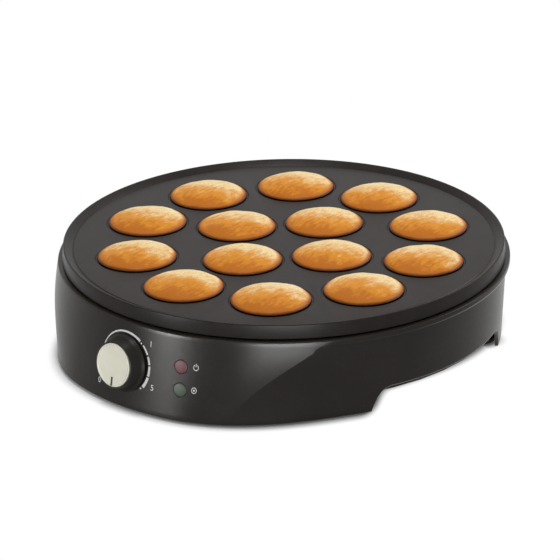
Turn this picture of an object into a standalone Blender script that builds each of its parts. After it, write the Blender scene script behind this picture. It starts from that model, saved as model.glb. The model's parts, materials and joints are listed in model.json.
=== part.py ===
"""Electric pancake pop maker: a round countertop cooker with fourteen domed wells.

Metres, +Z up, front towards -Y. The origin is on the table, in the middle of the footprint.
Angles round the drum are measured from the front, positive towards +X.
"""
import math

import bmesh
import bpy
from mathutils import Matrix, Vector

# Driving dimensions
PLATE_R = 0.1500                # cooking plate at its lower edge
DECK_Z = 0.0590                 # table to the top of the housing's flange
FLANGE_OVERHANG = 0.0029        # flange past the plate
FLANGE_STEP = 0.0027            # flange past the drum wall
DRAFT = 0.0030                  # how much the drum narrows down to its foot
SKIRT_Z = 0.0015                # the skirt's lower edge above the table
ARCH_H = 0.0160                 # how far the skirt is cut back at the sides
WALL = 0.0024                   # moulded wall
GAP = 0.0003                    # between pieces that touch
OVERRUN = 0.0020                # how far a cutter runs past what it cuts
DRUM_SETBACK = 0.0091           # the drum's axis behind the middle of the footprint

FLANGE_R = PLATE_R + FLANGE_OVERHANG
WALL_TOP_R = FLANGE_R - FLANGE_STEP
WALL_LOW_R = WALL_TOP_R - DRAFT

# Control panel, the part of the wall that leans out at the front
PANEL_SLOPE = 0.165             # outward run for each unit of height
CREASE_TOP_DEG, CREASE_LOW_DEG = 55.9, 30.3
CREASE_SWEEP = 1.6
PANEL_EDGE_DEG = 62.5
ROLL_START_DEG = 16.5           # where the panel starts to roll away at its foot

# Skirt
FRONT_SKIRT_DEG, ARCH_START_DEG = 66.2, 73.5
ARCH_END_DEG, REAR_SKIRT_DEG = 114.5, 122.5
SKIRT_SWEEP = 3.0
EDGE = 0.0006                   # small edge bevel of the mouldings

# Housing section
FLANGE_BAND = 0.0038
LIP = 0.0006                    # step from the flange's lower edge to the wall
WALL_ROW_SHARES = (0.19, 0.50, 0.67)    # rows of the wall, down from the flange
COVER_RIM_SHARE = 0.687

# Seat ring, which carries the plate and the heat reflector
SEAT_INSET = 0.0086             # inside the plate's lower edge
SEAT_RISE = 0.0039              # over the flange
LEDGE_DROP = 0.0064             # from the seat down to the reflector's ledge
LEDGE_W = 0.0104
SHOULDER_W = 0.0052             # the shoulder that the housing's flange rests on
RING_CLEARANCE = 0.0006         # the flange's faceted bore round the ring
SEAT_R = PLATE_R - SEAT_INSET
SEAT_Z = DECK_Z + SEAT_RISE
LEDGE_R = SEAT_R - LEDGE_W
LEDGE_Z = SEAT_Z - LEDGE_DROP

# Cooking plate
PLATE_T = 0.0037
RIM_WALL = 0.0026
RIM_W = 0.0063                  # from the plate's edge in to its flat field
RIM_H = 0.0031                  # rim over the field
RIM_LEAN = 0.0010
PLATE_CLEARANCE = 0.0017        # plate's skirt over the flange
LOCATING_RIB_H = 0.0029
LOCATING_RIB_T = 0.0020
LOCATING_CLEARANCE = 0.0005
FIELD_Z = SEAT_Z + GAP + PLATE_T
FIELD_R = PLATE_R - RIM_W
CREST_R = PLATE_R - RIM_LEAN
CREST_Z = FIELD_Z + RIM_H
PLATE_LOW_Z = DECK_Z + PLATE_CLEARANCE

# Wells and pancakes: a ring of ten and a ring of four, as large as the plate lets them be
OUTER_COUNT, INNER_COUNT = 10, 4
WELL_MARGIN = 0.0149            # outer wells to the rim
OUTER_LAND, INNER_LAND = 0.0071, 0.0044     # plate between neighbours on a ring
WELL_DEPTH = 0.0095
WELL_T = 0.0030
PLATE_TURN_DEG = 2.8            # the round plate can sit at any angle
DOME_H = 0.0059
DOME_LIP = 0.0007               # height of the pancake's widest line over the plate
OUTER_CHORD = math.sin(math.pi / OUTER_COUNT)
INNER_CHORD = math.sin(math.pi / INNER_COUNT)
WELL_R = ((FIELD_R - WELL_MARGIN) * OUTER_CHORD - OUTER_LAND / 2) / (1 + OUTER_CHORD)
OUTER_RING_R = FIELD_R - WELL_MARGIN - WELL_R
INNER_RING_R = (WELL_R + INNER_LAND / 2) / INNER_CHORD

# Heat reflector and heating element
PAN_T = 0.0008
PAN_DEPTH = 0.0105
PAN_LIP_W, PAN_TAPER = 0.0070, 0.0026
PAN_CLEARANCE = 0.0004
PAN_FLOOR_Z = LEDGE_Z - PAN_DEPTH
PAN_TOP_R = LEDGE_R - PAN_CLEARANCE
PAN_LIP_R = PAN_TOP_R + PAN_LIP_W
PAN_FOOT_R = PAN_TOP_R - PAN_TAPER
ELEMENT_TUBE_R = 0.00325
ELEMENT_DROP = 0.0094           # element's middle under the plate's field
ELEMENT_END_DEG = 172.0
ELEMENT_BEND_R = 0.0080
ELEMENT_TAIL = 0.0195
ELEMENT_R = (OUTER_RING_R + INNER_RING_R) / 2
ELEMENT_Z = FIELD_Z - ELEMENT_DROP
ELEMENT_TAIL_Z = ELEMENT_Z - ELEMENT_TAIL
CLAMP_DEG = (54.0, 126.0)
CLAMP_W, CLAMP_T = 0.0110, 0.0016
CLAMP_RIM = 0.0010
BUSH_R, BUSH_WALL, BUSH_H = 0.0062, 0.0022, 0.0075
SENSOR_R, SENSOR_STEM_R, SENSOR_FLANGE_R = 0.0062, 0.0028, 0.0095
SENSOR_FLANGE_T = 0.0012
SENSOR_TAIL = 0.0060
CAPILLARY_R = 0.0010

# Bottom cover, feet and screws
COVER_Z, COVER_T = 0.0142, 0.0020
COVER_CLEARANCE = 0.0007
FOOT_R, FOOT_TOP_R = 0.0094, 0.0098
FOOT_INSET = 0.0127             # foot's middle inside the drum's foot
FOOT_DEG = (50.0, 126.0)
PAD_R, PAD_H = 0.0086, 0.0024
POST_R, POST_INSET = 0.0040, 0.0055
POST_DEG = (38.0, 142.0)
SCREW_R, SCREW_HEAD_R, SCREW_HEAD_H = 0.0014, 0.0030, 0.0018
SCREW_REACH = 0.0100
VENT_COUNT = 12
VENT_L, VENT_W = 0.0300, 0.0050
COVER_RIM_Z = DECK_Z - (DECK_Z - SKIRT_Z) * COVER_RIM_SHARE
ARCH_Z = SKIRT_Z + ARCH_H
FOOT_RING_R = WALL_LOW_R - FOOT_INSET
POST_RING_R = LEDGE_R + POST_INSET
VENT_RING_R = WALL_LOW_R / 2

# Knob and thermostat
KNOB_DEG, KNOB_DROP = 1.9, 0.0277
KNOB_BASE_R = 0.0194
KNOB_FLARE, KNOB_TAPER = 0.0016, 0.0023     # in from the base to the foot, then to the top
KNOB_H, KNOB_STANDOFF = 0.0106, 0.0008
KNOB_FOOT_H = 0.0030
KNOB_SHELL = 0.0020
KNOB_RECESS = 0.0010
CAP_RIM, CAP_T = 0.0010, 0.0012              # the body's rim round the face
POINTER_L, POINTER_W, POINTER_T = 0.0058, 0.0010, 0.0006
SHAFT_R = 0.0030
SHAFT_CLEARANCE = 0.0006
HUB_WALL = 0.0023
THERMOSTAT_R, THERMOSTAT_L = 0.0068, 0.0140
THERMOSTAT_W = 0.0240
BRACKET_W, BRACKET_H, BRACKET_T = 0.0280, 0.0160, 0.0012
BRACKET_BACK = 0.0010           # how far the bracket stands off the curved wall

# Indicator lamps
LAMP_DEG = 18.3
LAMP_DROPS = (0.0207, 0.0360)   # under the flange's top
LENS_R, LENS_DOME = 0.0046, 0.0010
LENS_FLANGE_R, LENS_FLANGE_T = 0.0056, 0.0012
LENS_CLEARANCE = 0.0009         # behind the faceted inner wall
LAMP_R, LAMP_L = 0.0040, 0.0080

# Cord inlet, terminal block, fuse and wires
INLET_DEG, INLET_DROP = 180.0, 0.0250
INLET_R, INLET_BORE_R, INLET_FLANGE_R = 0.0070, 0.0037, 0.0092
INLET_FLANGE_T, INLET_L = 0.0018, 0.0120
BLOCK_W, BLOCK_D, BLOCK_H = 0.0320, 0.0130, 0.0120
BLOCK_DEG, BLOCK_INSET = 166.0, 0.0230
FUSE_R, FUSE_L = 0.0025, 0.0140
FUSE_DEG, FUSE_INSET = 150.0, 0.0410
WIRE_R = 0.0012
WIRE_STUB, WIRE_BEND = 0.0015, 0.0120
WIRE_POINTS = 6

KNOB_FOOT_R = KNOB_BASE_R - KNOB_FLARE
KNOB_TOP_R = KNOB_FOOT_R - KNOB_TAPER
CAP_R = KNOB_TOP_R - CAP_RIM
KNOB_Z = DECK_Z - KNOB_DROP
LAMP_HEIGHTS = tuple(DECK_Z - drop for drop in LAMP_DROPS)
INLET_Z = DECK_Z - INLET_DROP
BLOCK_RING_R = LEDGE_R - BLOCK_INSET
FUSE_RING_R = LEDGE_R - FUSE_INSET

# Counts
ROUND_STEPS = 16
KNOB_STEPS = 24
BOWL_TURNS, CROWN_TURNS = 2, 3
ELEMENT_STEPS = 24
RING_STEPS = 42
PLATE_STEPS = 60
COLUMNS = {"panel": 7, "side": 4, "lead": 1, "front_sweep": 5, "arch": 5,
           "rear_sweep": 5, "rear": 6}

SKIRT_H = DECK_Z - SKIRT_Z
WALL_ROW_HEIGHTS = tuple(DECK_Z - SKIRT_H * share for share in WALL_ROW_SHARES)
WELL_SPHERE_R = (WELL_R ** 2 + WELL_DEPTH ** 2) / (2 * WELL_DEPTH)


def clear_scene():
    for obj in list(bpy.data.objects):
        bpy.data.objects.remove(obj, do_unlink=True)


def new_collection(name):
    collection = bpy.data.collections.new(name)
    bpy.context.scene.collection.children.link(collection)
    return collection


clear_scene()
PARTS = new_collection("pancake_pop_maker")
CUTTERS = new_collection("cutters")


def material(name, colour, roughness, metallic=0.0):
    made = bpy.data.materials.new(name)
    made.use_nodes = True
    shader = made.node_tree.nodes["Principled BSDF"]
    shader.inputs["Base Color"].default_value = (*colour, 1.0)
    shader.inputs["Roughness"].default_value = roughness
    shader.inputs["Metallic"].default_value = metallic
    return made


def as_part(obj, colour, roughness, metallic=0.0):
    """Gives a finished piece its own material."""
    obj.data.materials.clear()
    obj.data.materials.append(material(obj.name + "_finish", colour, roughness, metallic))
    return obj


BLACK_PLASTIC = ((0.022, 0.021, 0.020), 0.38, 0.0)
DARK_METAL = ((0.055, 0.052, 0.050), 0.5, 0.4)
BRIGHT_STEEL = ((0.62, 0.62, 0.60), 0.3, 1.0)
CREAM_METAL = ((0.62, 0.61, 0.54), 0.35, 0.3)
RUBBER = ((0.012, 0.012, 0.012), 0.8, 0.0)
CERAMIC = ((0.78, 0.75, 0.68), 0.6, 0.0)
BROWN_MOULDING = ((0.10, 0.05, 0.03), 0.5, 0.0)
GOLDEN = ((0.72, 0.36, 0.09), 0.6, 0.0)
WIRE_RED = ((0.45, 0.03, 0.02), 0.5, 0.0)


def link_mesh(name, mesh, collection=PARTS):
    obj = bpy.data.objects.new(name, mesh)
    collection.objects.link(obj)
    if collection is CUTTERS:
        obj.hide_render = True
        obj.display_type = 'WIRE'
    return obj


def mesh_from(bm, name):
    mesh = bpy.data.meshes.new(name)
    bm.to_mesh(mesh)
    bm.free()
    return mesh


def evaluated_mesh(obj, name):
    """The mesh of an object with its modifiers, in place of the object."""
    graph = bpy.context.evaluated_depsgraph_get()
    mesh = bpy.data.meshes.new_from_object(obj.evaluated_get(graph))
    mesh.name = name
    mesh.transform(obj.matrix_world)
    bpy.data.objects.remove(obj, do_unlink=True)
    return mesh


def turned(name, profile, steps=ROUND_STEPS, place=None, closed=False, collection=PARTS):
    """A profile of radius and height, down its outer side, turned round the local Z axis."""
    bm = bmesh.new()
    points = [bm.verts.new((radius, 0, height)) for radius, height in profile]
    for start, end in zip(points, points[1:]):
        bm.edges.new((start, end))
    if closed:
        bm.edges.new((points[-1], points[0]))
    obj = link_mesh(name, mesh_from(bm, name), collection)
    screw = obj.modifiers.new("turn", 'SCREW')
    screw.steps = screw.render_steps = steps
    screw.use_merge_vertices = True
    screw.merge_threshold = 0.00001
    screw.use_smooth_shade = True
    if place is not None:
        obj.matrix_world = place
    return obj


def solid_cylinder(name, radius, low, high, place=None, steps=ROUND_STEPS, collection=PARTS):
    profile = [(0, high), (radius, high), (radius, low), (0, low)]
    return turned(name, profile, steps, place, collection=collection)


def box(name, size, place, bevel=0, collection=PARTS):
    bm = bmesh.new()
    bmesh.ops.create_cube(bm, size=1)
    bmesh.ops.scale(bm, vec=size, verts=bm.verts)
    obj = link_mesh(name, mesh_from(bm, name), collection)
    obj.matrix_world = place
    if bevel:
        rounding = obj.modifiers.new("rounding", 'BEVEL')
        rounding.width = bevel
        rounding.segments = 1
    return obj


def tube(name, points, radius, resolution=2):
    curve = bpy.data.curves.new(name, 'CURVE')
    curve.dimensions = '3D'
    curve.bevel_depth = radius
    curve.bevel_resolution = resolution
    curve.use_fill_caps = True
    spline = curve.splines.new('POLY')
    spline.points.add(len(points) - 1)
    for spot, point in zip(spline.points, points):
        spot.co = (*point, 1)
    obj = bpy.data.objects.new(name, curve)
    PARTS.objects.link(obj)
    return obj


def joined_cutter(name, pieces):
    """Cutters that work together, as one object with separate bodies."""
    bm = bmesh.new()
    for piece in pieces:
        bm.from_mesh(evaluated_mesh(piece, name))
    return link_mesh(name, mesh_from(bm, name), CUTTERS)


def combine(obj, cutter, operation='DIFFERENCE'):
    step = obj.modifiers.new(cutter.name, 'BOOLEAN')
    step.solver = 'EXACT'
    step.operation = operation
    step.object = cutter


def on_ring(radius, degrees, height):
    """A point at an angle from the front, positive towards +X."""
    angle = math.radians(degrees)
    return Vector((radius * math.sin(angle), -radius * math.cos(angle), height))


def upright(radius, degrees, height):
    """A frame on a ring, its Z up and its X pointing out from the drum's axis."""
    turn = Matrix.Rotation(math.radians(degrees - 90), 4, 'Z')
    return Matrix.Translation(on_ring(radius, degrees, height)) @ turn


def facing(radius, degrees, height, slope):
    """A frame on a wall, its Z square to the wall and its Y along the wall, upwards."""
    tilt = math.atan(slope)
    turn = Matrix.Rotation(math.radians(degrees), 4, 'Z')
    lean = Matrix.Rotation(math.radians(90) - tilt, 4, 'X')
    return Matrix.Translation(on_ring(radius, degrees, height)) @ turn @ lean


def wall_radius(height):
    share = (height - SKIRT_Z) / (DECK_Z - FLANGE_BAND - LIP - SKIRT_Z)
    return WALL_LOW_R + (WALL_TOP_R - WALL_LOW_R) * share


def panel_radius(height):
    return FLANGE_R + PANEL_SLOPE * (DECK_Z - height)


def drop_share(height):
    return min(max((DECK_Z - height) / SKIRT_H, 0.0), 1.0)


def smooth(share):
    share = min(max(share, 0.0), 1.0)
    return share * share * (3 - 2 * share)


def crease_angle(height):
    """Where the panel's face ends at this height, in degrees from the front."""
    sweep = (1 - drop_share(height)) ** CREASE_SWEEP
    return CREASE_LOW_DEG + (CREASE_TOP_DEG - CREASE_LOW_DEG) * sweep


def panel_share(degrees, height):
    """1 on the panel's face and 0 on the drum: a crisp fold above, a soft roll at the foot."""
    angle = abs(degrees)
    crease = crease_angle(height)
    fold = min(max((PANEL_EDGE_DEG - angle) / (PANEL_EDGE_DEG - crease), 0.0), 1.0) ** 2
    roll = smooth((PANEL_EDGE_DEG - angle) / (PANEL_EDGE_DEG - ROLL_START_DEG))
    softness = drop_share(height) ** 2
    return fold + (roll - fold) * softness


def arch_share(degrees):
    """0 where the skirt comes down to the table and 1 where it is cut back."""
    angle = abs(degrees)
    front = (angle - FRONT_SKIRT_DEG) / (ARCH_START_DEG - FRONT_SKIRT_DEG)
    rear = (REAR_SKIRT_DEG - angle) / (REAR_SKIRT_DEG - ARCH_END_DEG)
    share = min(max(min(front, rear), 0.0), 1.0)
    return 1 - (1 - share) ** SKIRT_SWEEP


def column_angle(column, height):
    """The angle of a column of the wall: columns gather where the shape changes."""
    stops = [(COLUMNS["panel"], crease_angle(height)), (COLUMNS["side"], PANEL_EDGE_DEG),
             (COLUMNS["lead"], FRONT_SKIRT_DEG), (COLUMNS["front_sweep"], ARCH_START_DEG),
             (COLUMNS["arch"], ARCH_END_DEG), (COLUMNS["rear_sweep"], REAR_SKIRT_DEG),
             (COLUMNS["rear"], 180.0)]
    start = 0.0
    left = abs(column)
    for count, end in stops:
        if left <= count:
            return math.copysign(start + (end - start) * left / count, column)
        start = end
        left -= count
    return math.copysign(180.0, column)


def shell_point(inset, column, height):
    """A point of the drum's wall, some way in from its outer face."""
    degrees = column_angle(column, height)
    skin = wall_radius(height)
    if height > DECK_Z - FLANGE_BAND - LIP / 2:
        skin = FLANGE_R
    push = (panel_radius(height) - skin) * panel_share(degrees, height)
    return on_ring(skin - inset + push, degrees, height)


def straight_point(inset, column, height):
    """As shell_point, on the straight run from the skirt up to the cover's rim."""
    low = shell_point(inset, column, SKIRT_Z)
    high = shell_point(inset, column, COVER_RIM_Z)
    return low.lerp(high, (height - SKIRT_Z) / (COVER_RIM_Z - SKIRT_Z))


def shape_shell(obj, name, inner_r, lifted_below=0.0):
    """Turns a round shell into the drum's shape: the panel pushed out, the skirt cut back."""
    steps = 2 * sum(COLUMNS.values())
    mesh = evaluated_mesh(obj, name)
    for vertex in mesh.vertices:
        x, y, height = vertex.co
        radius = math.hypot(x, y)
        column = round(math.atan2(y, x) * steps / math.tau)
        degrees = column_angle(column, height)
        skin = wall_radius(height)
        if height > DECK_Z - FLANGE_BAND - LIP / 2:
            skin = FLANGE_R
        lift = 0.0
        if height < lifted_below:
            lift = (ARCH_Z - SKIRT_Z) * arch_share(degrees)
        if radius < inner_r:
            vertex.co = on_ring(radius, degrees, height)
        elif lift:
            vertex.co = shell_point(skin - radius, column, height + lift)
        elif height < COVER_RIM_Z:
            vertex.co = straight_point(skin - radius, column, height)
        else:
            vertex.co = shell_point(skin - radius, column, height)
    return link_mesh(name, mesh)


def base_housing():
    """One moulded shell: flange, drum wall, leaning control panel and arched skirt."""
    band_z = DECK_Z - FLANGE_BAND
    wall_z = band_z - LIP
    outer = [(wall_radius(z), z) for z in WALL_ROW_HEIGHTS]
    inner = [(wall_radius(z) - WALL, z) for z in (*WALL_ROW_HEIGHTS[:-1], COVER_RIM_Z)]
    under_z = DECK_Z - WALL
    bore = SEAT_R + RING_CLEARANCE
    profile = [(bore, DECK_Z), (FLANGE_R - EDGE, DECK_Z), (FLANGE_R, DECK_Z - EDGE),
               (FLANGE_R, band_z), (WALL_TOP_R, wall_z), *outer,
               (wall_radius(SKIRT_Z + EDGE), SKIRT_Z + EDGE), (WALL_LOW_R - EDGE, SKIRT_Z),
               (WALL_LOW_R - WALL, SKIRT_Z), *inner[::-1],
               (wall_radius(under_z) - WALL, under_z), (bore, under_z)]
    ring = turned("housing_blank", profile, 2 * sum(COLUMNS.values()), closed=True)
    housing = shape_shell(ring, "base_housing", SEAT_R + WALL, SKIRT_Z + 2 * EDGE)
    combine(housing, housing_holes())
    return as_part(housing, *BLACK_PLASTIC)


def seat_ring():
    """Ring under the flange that carries the plate and the reflector, on four posts."""
    shoulder_z = DECK_Z - WALL - GAP
    under_z = LEDGE_Z - WALL
    profile = [(SEAT_R - WALL, SEAT_Z), (SEAT_R, SEAT_Z), (SEAT_R, shoulder_z),
               (SEAT_R + SHOULDER_W, shoulder_z), (SEAT_R + SHOULDER_W, under_z), (LEDGE_R, under_z),
               (LEDGE_R, LEDGE_Z), (SEAT_R - WALL, LEDGE_Z)]
    ring = turned("seat_ring", profile, RING_STEPS, closed=True)
    combine(ring, screw_posts(), 'UNION')
    combine(ring, pilot_holes())
    return as_part(ring, *BLACK_PLASTIC)


def screw_posts():
    """Posts under the seat ring that stand on the cover and take its screws."""
    low = COVER_Z + COVER_T + GAP
    pieces = [solid_cylinder("post", POST_R, low, LEDGE_Z - WALL / 2,
                             upright(POST_RING_R, side * angle, 0), collection=CUTTERS)
              for side in (1, -1) for angle in POST_DEG]
    return joined_cutter("screw_posts", pieces)


def pilot_holes():
    """Holes in the posts for the cover's screws."""
    low = COVER_Z + COVER_T - OVERRUN
    high = COVER_Z + COVER_T + SCREW_REACH + OVERRUN
    pieces = [solid_cylinder("pilot", SCREW_R + GAP, low, high,
                             upright(POST_RING_R, side * angle, 0), collection=CUTTERS)
              for side in (1, -1) for angle in POST_DEG]
    return joined_cutter("pilot_holes", pieces)


def housing_holes():
    """Holes for the knob's shaft, both lamps and the cord inlet."""
    reach = WALL + 3 * OVERRUN
    pieces = [solid_cylinder("shaft_hole", SHAFT_R + SHAFT_CLEARANCE, -reach, OVERRUN,
                             knob_frame(), collection=CUTTERS)]
    pieces += [solid_cylinder("lens_hole", LENS_R + GAP, -reach, OVERRUN, lamp_frame(height),
                              collection=CUTTERS) for height in LAMP_HEIGHTS]
    pieces.append(solid_cylinder("inlet_hole", INLET_R + GAP, -reach, OVERRUN, inlet_frame(),
                                 collection=CUTTERS))
    return joined_cutter("housing_holes", pieces)


def knob_frame():
    return facing(panel_radius(KNOB_Z), KNOB_DEG, KNOB_Z, PANEL_SLOPE)


def lamp_frame(height):
    return facing(panel_radius(height), LAMP_DEG, height, PANEL_SLOPE)


def inlet_frame():
    slope = (WALL_LOW_R - WALL_TOP_R) / SKIRT_H
    return facing(wall_radius(INLET_Z), INLET_DEG, INLET_Z, slope)


def bottom_cover():
    """Shallow tray that closes the housing from below, with vents and the foot sockets."""
    rim_r = wall_radius(COVER_RIM_Z) - WALL - COVER_CLEARANCE
    foot_r = wall_radius(COVER_Z) - WALL - COVER_CLEARANCE
    top = COVER_Z + COVER_T
    profile = [(0, top), (LEDGE_R - COVER_T, top), (rim_r - COVER_T, top),
               (rim_r - COVER_T, COVER_RIM_Z), (rim_r, COVER_RIM_Z), (foot_r, COVER_Z + EDGE),
               (foot_r - EDGE, COVER_Z), (LEDGE_R, COVER_Z), (0, COVER_Z)]
    tray = turned("cover_blank", profile, 2 * sum(COLUMNS.values()))
    cover = shape_shell(tray, "bottom_cover", LEDGE_R + EDGE)
    combine(cover, cover_cuts())
    return as_part(cover, *BLACK_PLASTIC)


def cover_cuts():
    """Vent slots, screw holes and the room behind the lower lens."""
    low, high = COVER_Z - OVERRUN, COVER_Z + COVER_T + OVERRUN
    pieces = []
    for index in range(VENT_COUNT):
        place = upright(VENT_RING_R, 360 * (index + 0.5) / VENT_COUNT, (low + high) / 2)
        pieces.append(box("vent", (VENT_L, VENT_W, high - low), place, collection=CUTTERS))
    pieces += [solid_cylinder("screw_way", SCREW_R + GAP, low, high,
                              upright(POST_RING_R, side * angle, 0), collection=CUTTERS)
               for side in (1, -1) for angle in POST_DEG]
    room = LENS_FLANGE_R + 4 * GAP
    pieces.append(solid_cylinder("lens_room", room, -3 * LAMP_L, OVERRUN,
                                 lamp_frame(LAMP_HEIGHTS[1]), collection=CUTTERS))
    return joined_cutter("cover_cuts", pieces)


def feet():
    """Four moulded legs under the cover, each with a rubber pad."""
    places = [(name, side * angle) for name, angle in zip(("front", "rear"), FOOT_DEG)
              for side in (1, -1)]
    for name, angle in places:
        hand = "right" if angle > 0 else "left"
        place = upright(FOOT_RING_R, angle, 0)
        low, high = PAD_H + GAP, COVER_Z - GAP
        leg = turned(f"{name}_{hand}_leg",
                     [(0, high), (FOOT_TOP_R, high), (FOOT_R, low + EDGE), (FOOT_R - EDGE, low),
                      (0, low)], place=place)
        as_part(leg, *BLACK_PLASTIC)
        pad = turned(f"{name}_{hand}_foot_pad",
                     [(0, PAD_H), (PAD_R, PAD_H), (PAD_R, EDGE), (PAD_R - EDGE, 0), (0, 0)],
                     place=place)
        as_part(pad, *RUBBER)


def cover_screws():
    """Pan-head screws from below into the seat ring's posts."""
    number = 0
    for angle in POST_DEG:
        for side in (1, -1):
            number += 1
            head = COVER_Z - GAP
            tip = COVER_Z + COVER_T + SCREW_REACH
            profile = [(0, tip), (SCREW_R, tip - EDGE), (SCREW_R, head), (SCREW_HEAD_R, head),
                       (SCREW_HEAD_R, head - SCREW_HEAD_H + EDGE),
                       (SCREW_HEAD_R - EDGE, head - SCREW_HEAD_H), (0, head - SCREW_HEAD_H)]
            screw = turned(f"cover_screw_{number}", profile, 10,
                           upright(POST_RING_R, side * angle, 0))
            as_part(screw, *BRIGHT_STEEL)


def well_places():
    """Each well's place on the plate: ten on the outer ring, then four on the inner."""
    spots = [upright(OUTER_RING_R, PLATE_TURN_DEG + 360 * index / OUTER_COUNT, 0)
             for index in range(OUTER_COUNT)]
    spots += [upright(INNER_RING_R, PLATE_TURN_DEG + 360 * index / INNER_COUNT, 0)
              for index in range(INNER_COUNT)]
    return spots


def bowl_points(offset, rim_z):
    """The well's round bottom from its rim to its centre, moved outwards by an offset."""
    radius = WELL_SPHERE_R + offset
    centre_z = FIELD_Z - WELL_DEPTH + WELL_SPHERE_R
    rim_angle = math.acos((centre_z - rim_z) / radius)
    angles = [rim_angle * (BOWL_TURNS - step) / BOWL_TURNS for step in range(BOWL_TURNS + 1)]
    return [(radius * math.sin(angle), centre_z - radius * math.cos(angle)) for angle in angles]


def cooking_plate():
    """Cast plate with a raised rim, a skirt round the seat ring and fourteen thin wells."""
    under_z = FIELD_Z - PLATE_T
    rib_r = SEAT_R + LOCATING_CLEARANCE
    rib_outer_r = rib_r + LOCATING_RIB_T
    profile = [(0, FIELD_Z), (FIELD_R, FIELD_Z), (CREST_R, CREST_Z),
               (PLATE_R - EDGE / 2, CREST_Z - EDGE), (PLATE_R, PLATE_LOW_Z),
               (PLATE_R - RIM_WALL, PLATE_LOW_Z), (PLATE_R - RIM_WALL, under_z),
               (rib_outer_r, under_z), (rib_outer_r, under_z - LOCATING_RIB_H),
               (rib_r, under_z - LOCATING_RIB_H), (rib_r, under_z), (0, under_z)]
    plate = turned("cooking_plate", profile, PLATE_STEPS)
    domes = []
    wells = []
    for place in well_places():
        shell_top = FIELD_Z - PLATE_T / 2
        dome = [(0, shell_top), *bowl_points(WELL_T, shell_top)]
        well = [(0, FIELD_Z + OVERRUN), (WELL_R, FIELD_Z + OVERRUN),
                *bowl_points(0, FIELD_Z)]
        domes.append(turned("dome", dome, place=place, collection=CUTTERS))
        wells.append(turned("well", well, place=place, collection=CUTTERS))
    combine(plate, joined_cutter("well_domes", domes), 'UNION')
    combine(plate, joined_cutter("well_bowls", wells))
    return as_part(plate, *DARK_METAL)


def pancakes():
    """Fourteen pancakes, each filling its well and crowned above the plate."""
    crown_r = WELL_R - GAP
    crown_z = FIELD_Z + DOME_LIP
    dome_sphere = (crown_r ** 2 + DOME_H ** 2) / (2 * DOME_H)
    dome_angle = math.asin(crown_r / dome_sphere)
    angles = [dome_angle * step / CROWN_TURNS for step in range(CROWN_TURNS + 1)]
    top_z = crown_z + DOME_H
    crown = [(dome_sphere * math.sin(angle), top_z - dome_sphere * (1 - math.cos(angle)))
             for angle in angles]
    bottom = bowl_points(-GAP, FIELD_Z)
    for index, place in enumerate(well_places()):
        cake = turned(f"pancake_{index + 1:02d}", crown + bottom, place=place)
        as_part(cake, *GOLDEN)


def heat_reflector():
    """Thin pan under the element that hangs by its lip on the seat ring's ledge."""
    lip_z = LEDGE_Z + GAP
    profile = [(0, PAN_FLOOR_Z + PAN_T), (PAN_FOOT_R - PAN_T, PAN_FLOOR_Z + PAN_T),
               (PAN_TOP_R - PAN_T, lip_z + PAN_T), (PAN_LIP_R, lip_z + PAN_T), (PAN_LIP_R, lip_z),
               (PAN_TOP_R, lip_z), (PAN_FOOT_R, PAN_FLOOR_Z), (0, PAN_FLOOR_Z)]
    pan = turned("heat_reflector", profile, PLATE_STEPS // 2)
    low, high = PAN_FLOOR_Z - OVERRUN, PAN_FLOOR_Z + PAN_T + OVERRUN
    cuts = [solid_cylinder("bush_hole", BUSH_R - BUSH_WALL / 2 + GAP, low, high,
                           upright(ELEMENT_R, side * ELEMENT_END_DEG, 0), collection=CUTTERS)
            for side in (1, -1)]
    cuts.append(solid_cylinder("sensor_hole", SENSOR_STEM_R + GAP, low, high,
                               collection=CUTTERS))
    combine(pan, joined_cutter("reflector_holes", cuts))
    return as_part(pan, *BRIGHT_STEEL)


def heating_element():
    """Sheathed element: a ring between the two rings of wells, its tails turned down."""
    bend_deg = math.degrees(ELEMENT_BEND_R / ELEMENT_R)
    last = ELEMENT_END_DEG - bend_deg
    bend_steps = 4
    path = []
    for side in (-1, 1):
        tail = [on_ring(ELEMENT_R, side * ELEMENT_END_DEG, ELEMENT_TAIL_Z)]
        for step in range(bend_steps + 1):
            turn = math.pi / 2 * step / bend_steps
            degrees = last + bend_deg * math.cos(turn)
            height = ELEMENT_Z - ELEMENT_BEND_R * (1 - math.sin(turn))
            tail.append(on_ring(ELEMENT_R, side * degrees, height))
        path.append(tail)
    arc = [on_ring(ELEMENT_R, -last + 2 * last * step / ELEMENT_STEPS, ELEMENT_Z)
           for step in range(1, ELEMENT_STEPS)]
    points = path[0] + arc + path[1][::-1]
    return as_part(tube("heating_element", points, ELEMENT_TUBE_R), *DARK_METAL)


def element_clamps():
    """Upright clips on the reflector, each with an eye round the element."""
    number = 0
    base_z = PAN_FLOOR_Z + PAN_T + GAP
    eye_r = ELEMENT_TUBE_R + GAP
    top_z = ELEMENT_Z + eye_r + CLAMP_RIM
    for angle in CLAMP_DEG:
        for side in (1, -1):
            number += 1
            degrees = side * angle + PLATE_TURN_DEG
            place = upright(ELEMENT_R, degrees, (base_z + top_z) / 2)
            clamp = box(f"element_clamp_{number}", (CLAMP_W, CLAMP_T, top_z - base_z), place)
            eye_place = upright(ELEMENT_R, degrees, ELEMENT_Z) @ Matrix.Rotation(
                math.pi / 2, 4, 'X')
            eye = solid_cylinder(f"clamp_eye_{number}", eye_r + GAP, -CLAMP_T, CLAMP_T,
                                 eye_place, collection=CUTTERS)
            combine(clamp, eye)
            as_part(clamp, *BRIGHT_STEEL)


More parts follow.
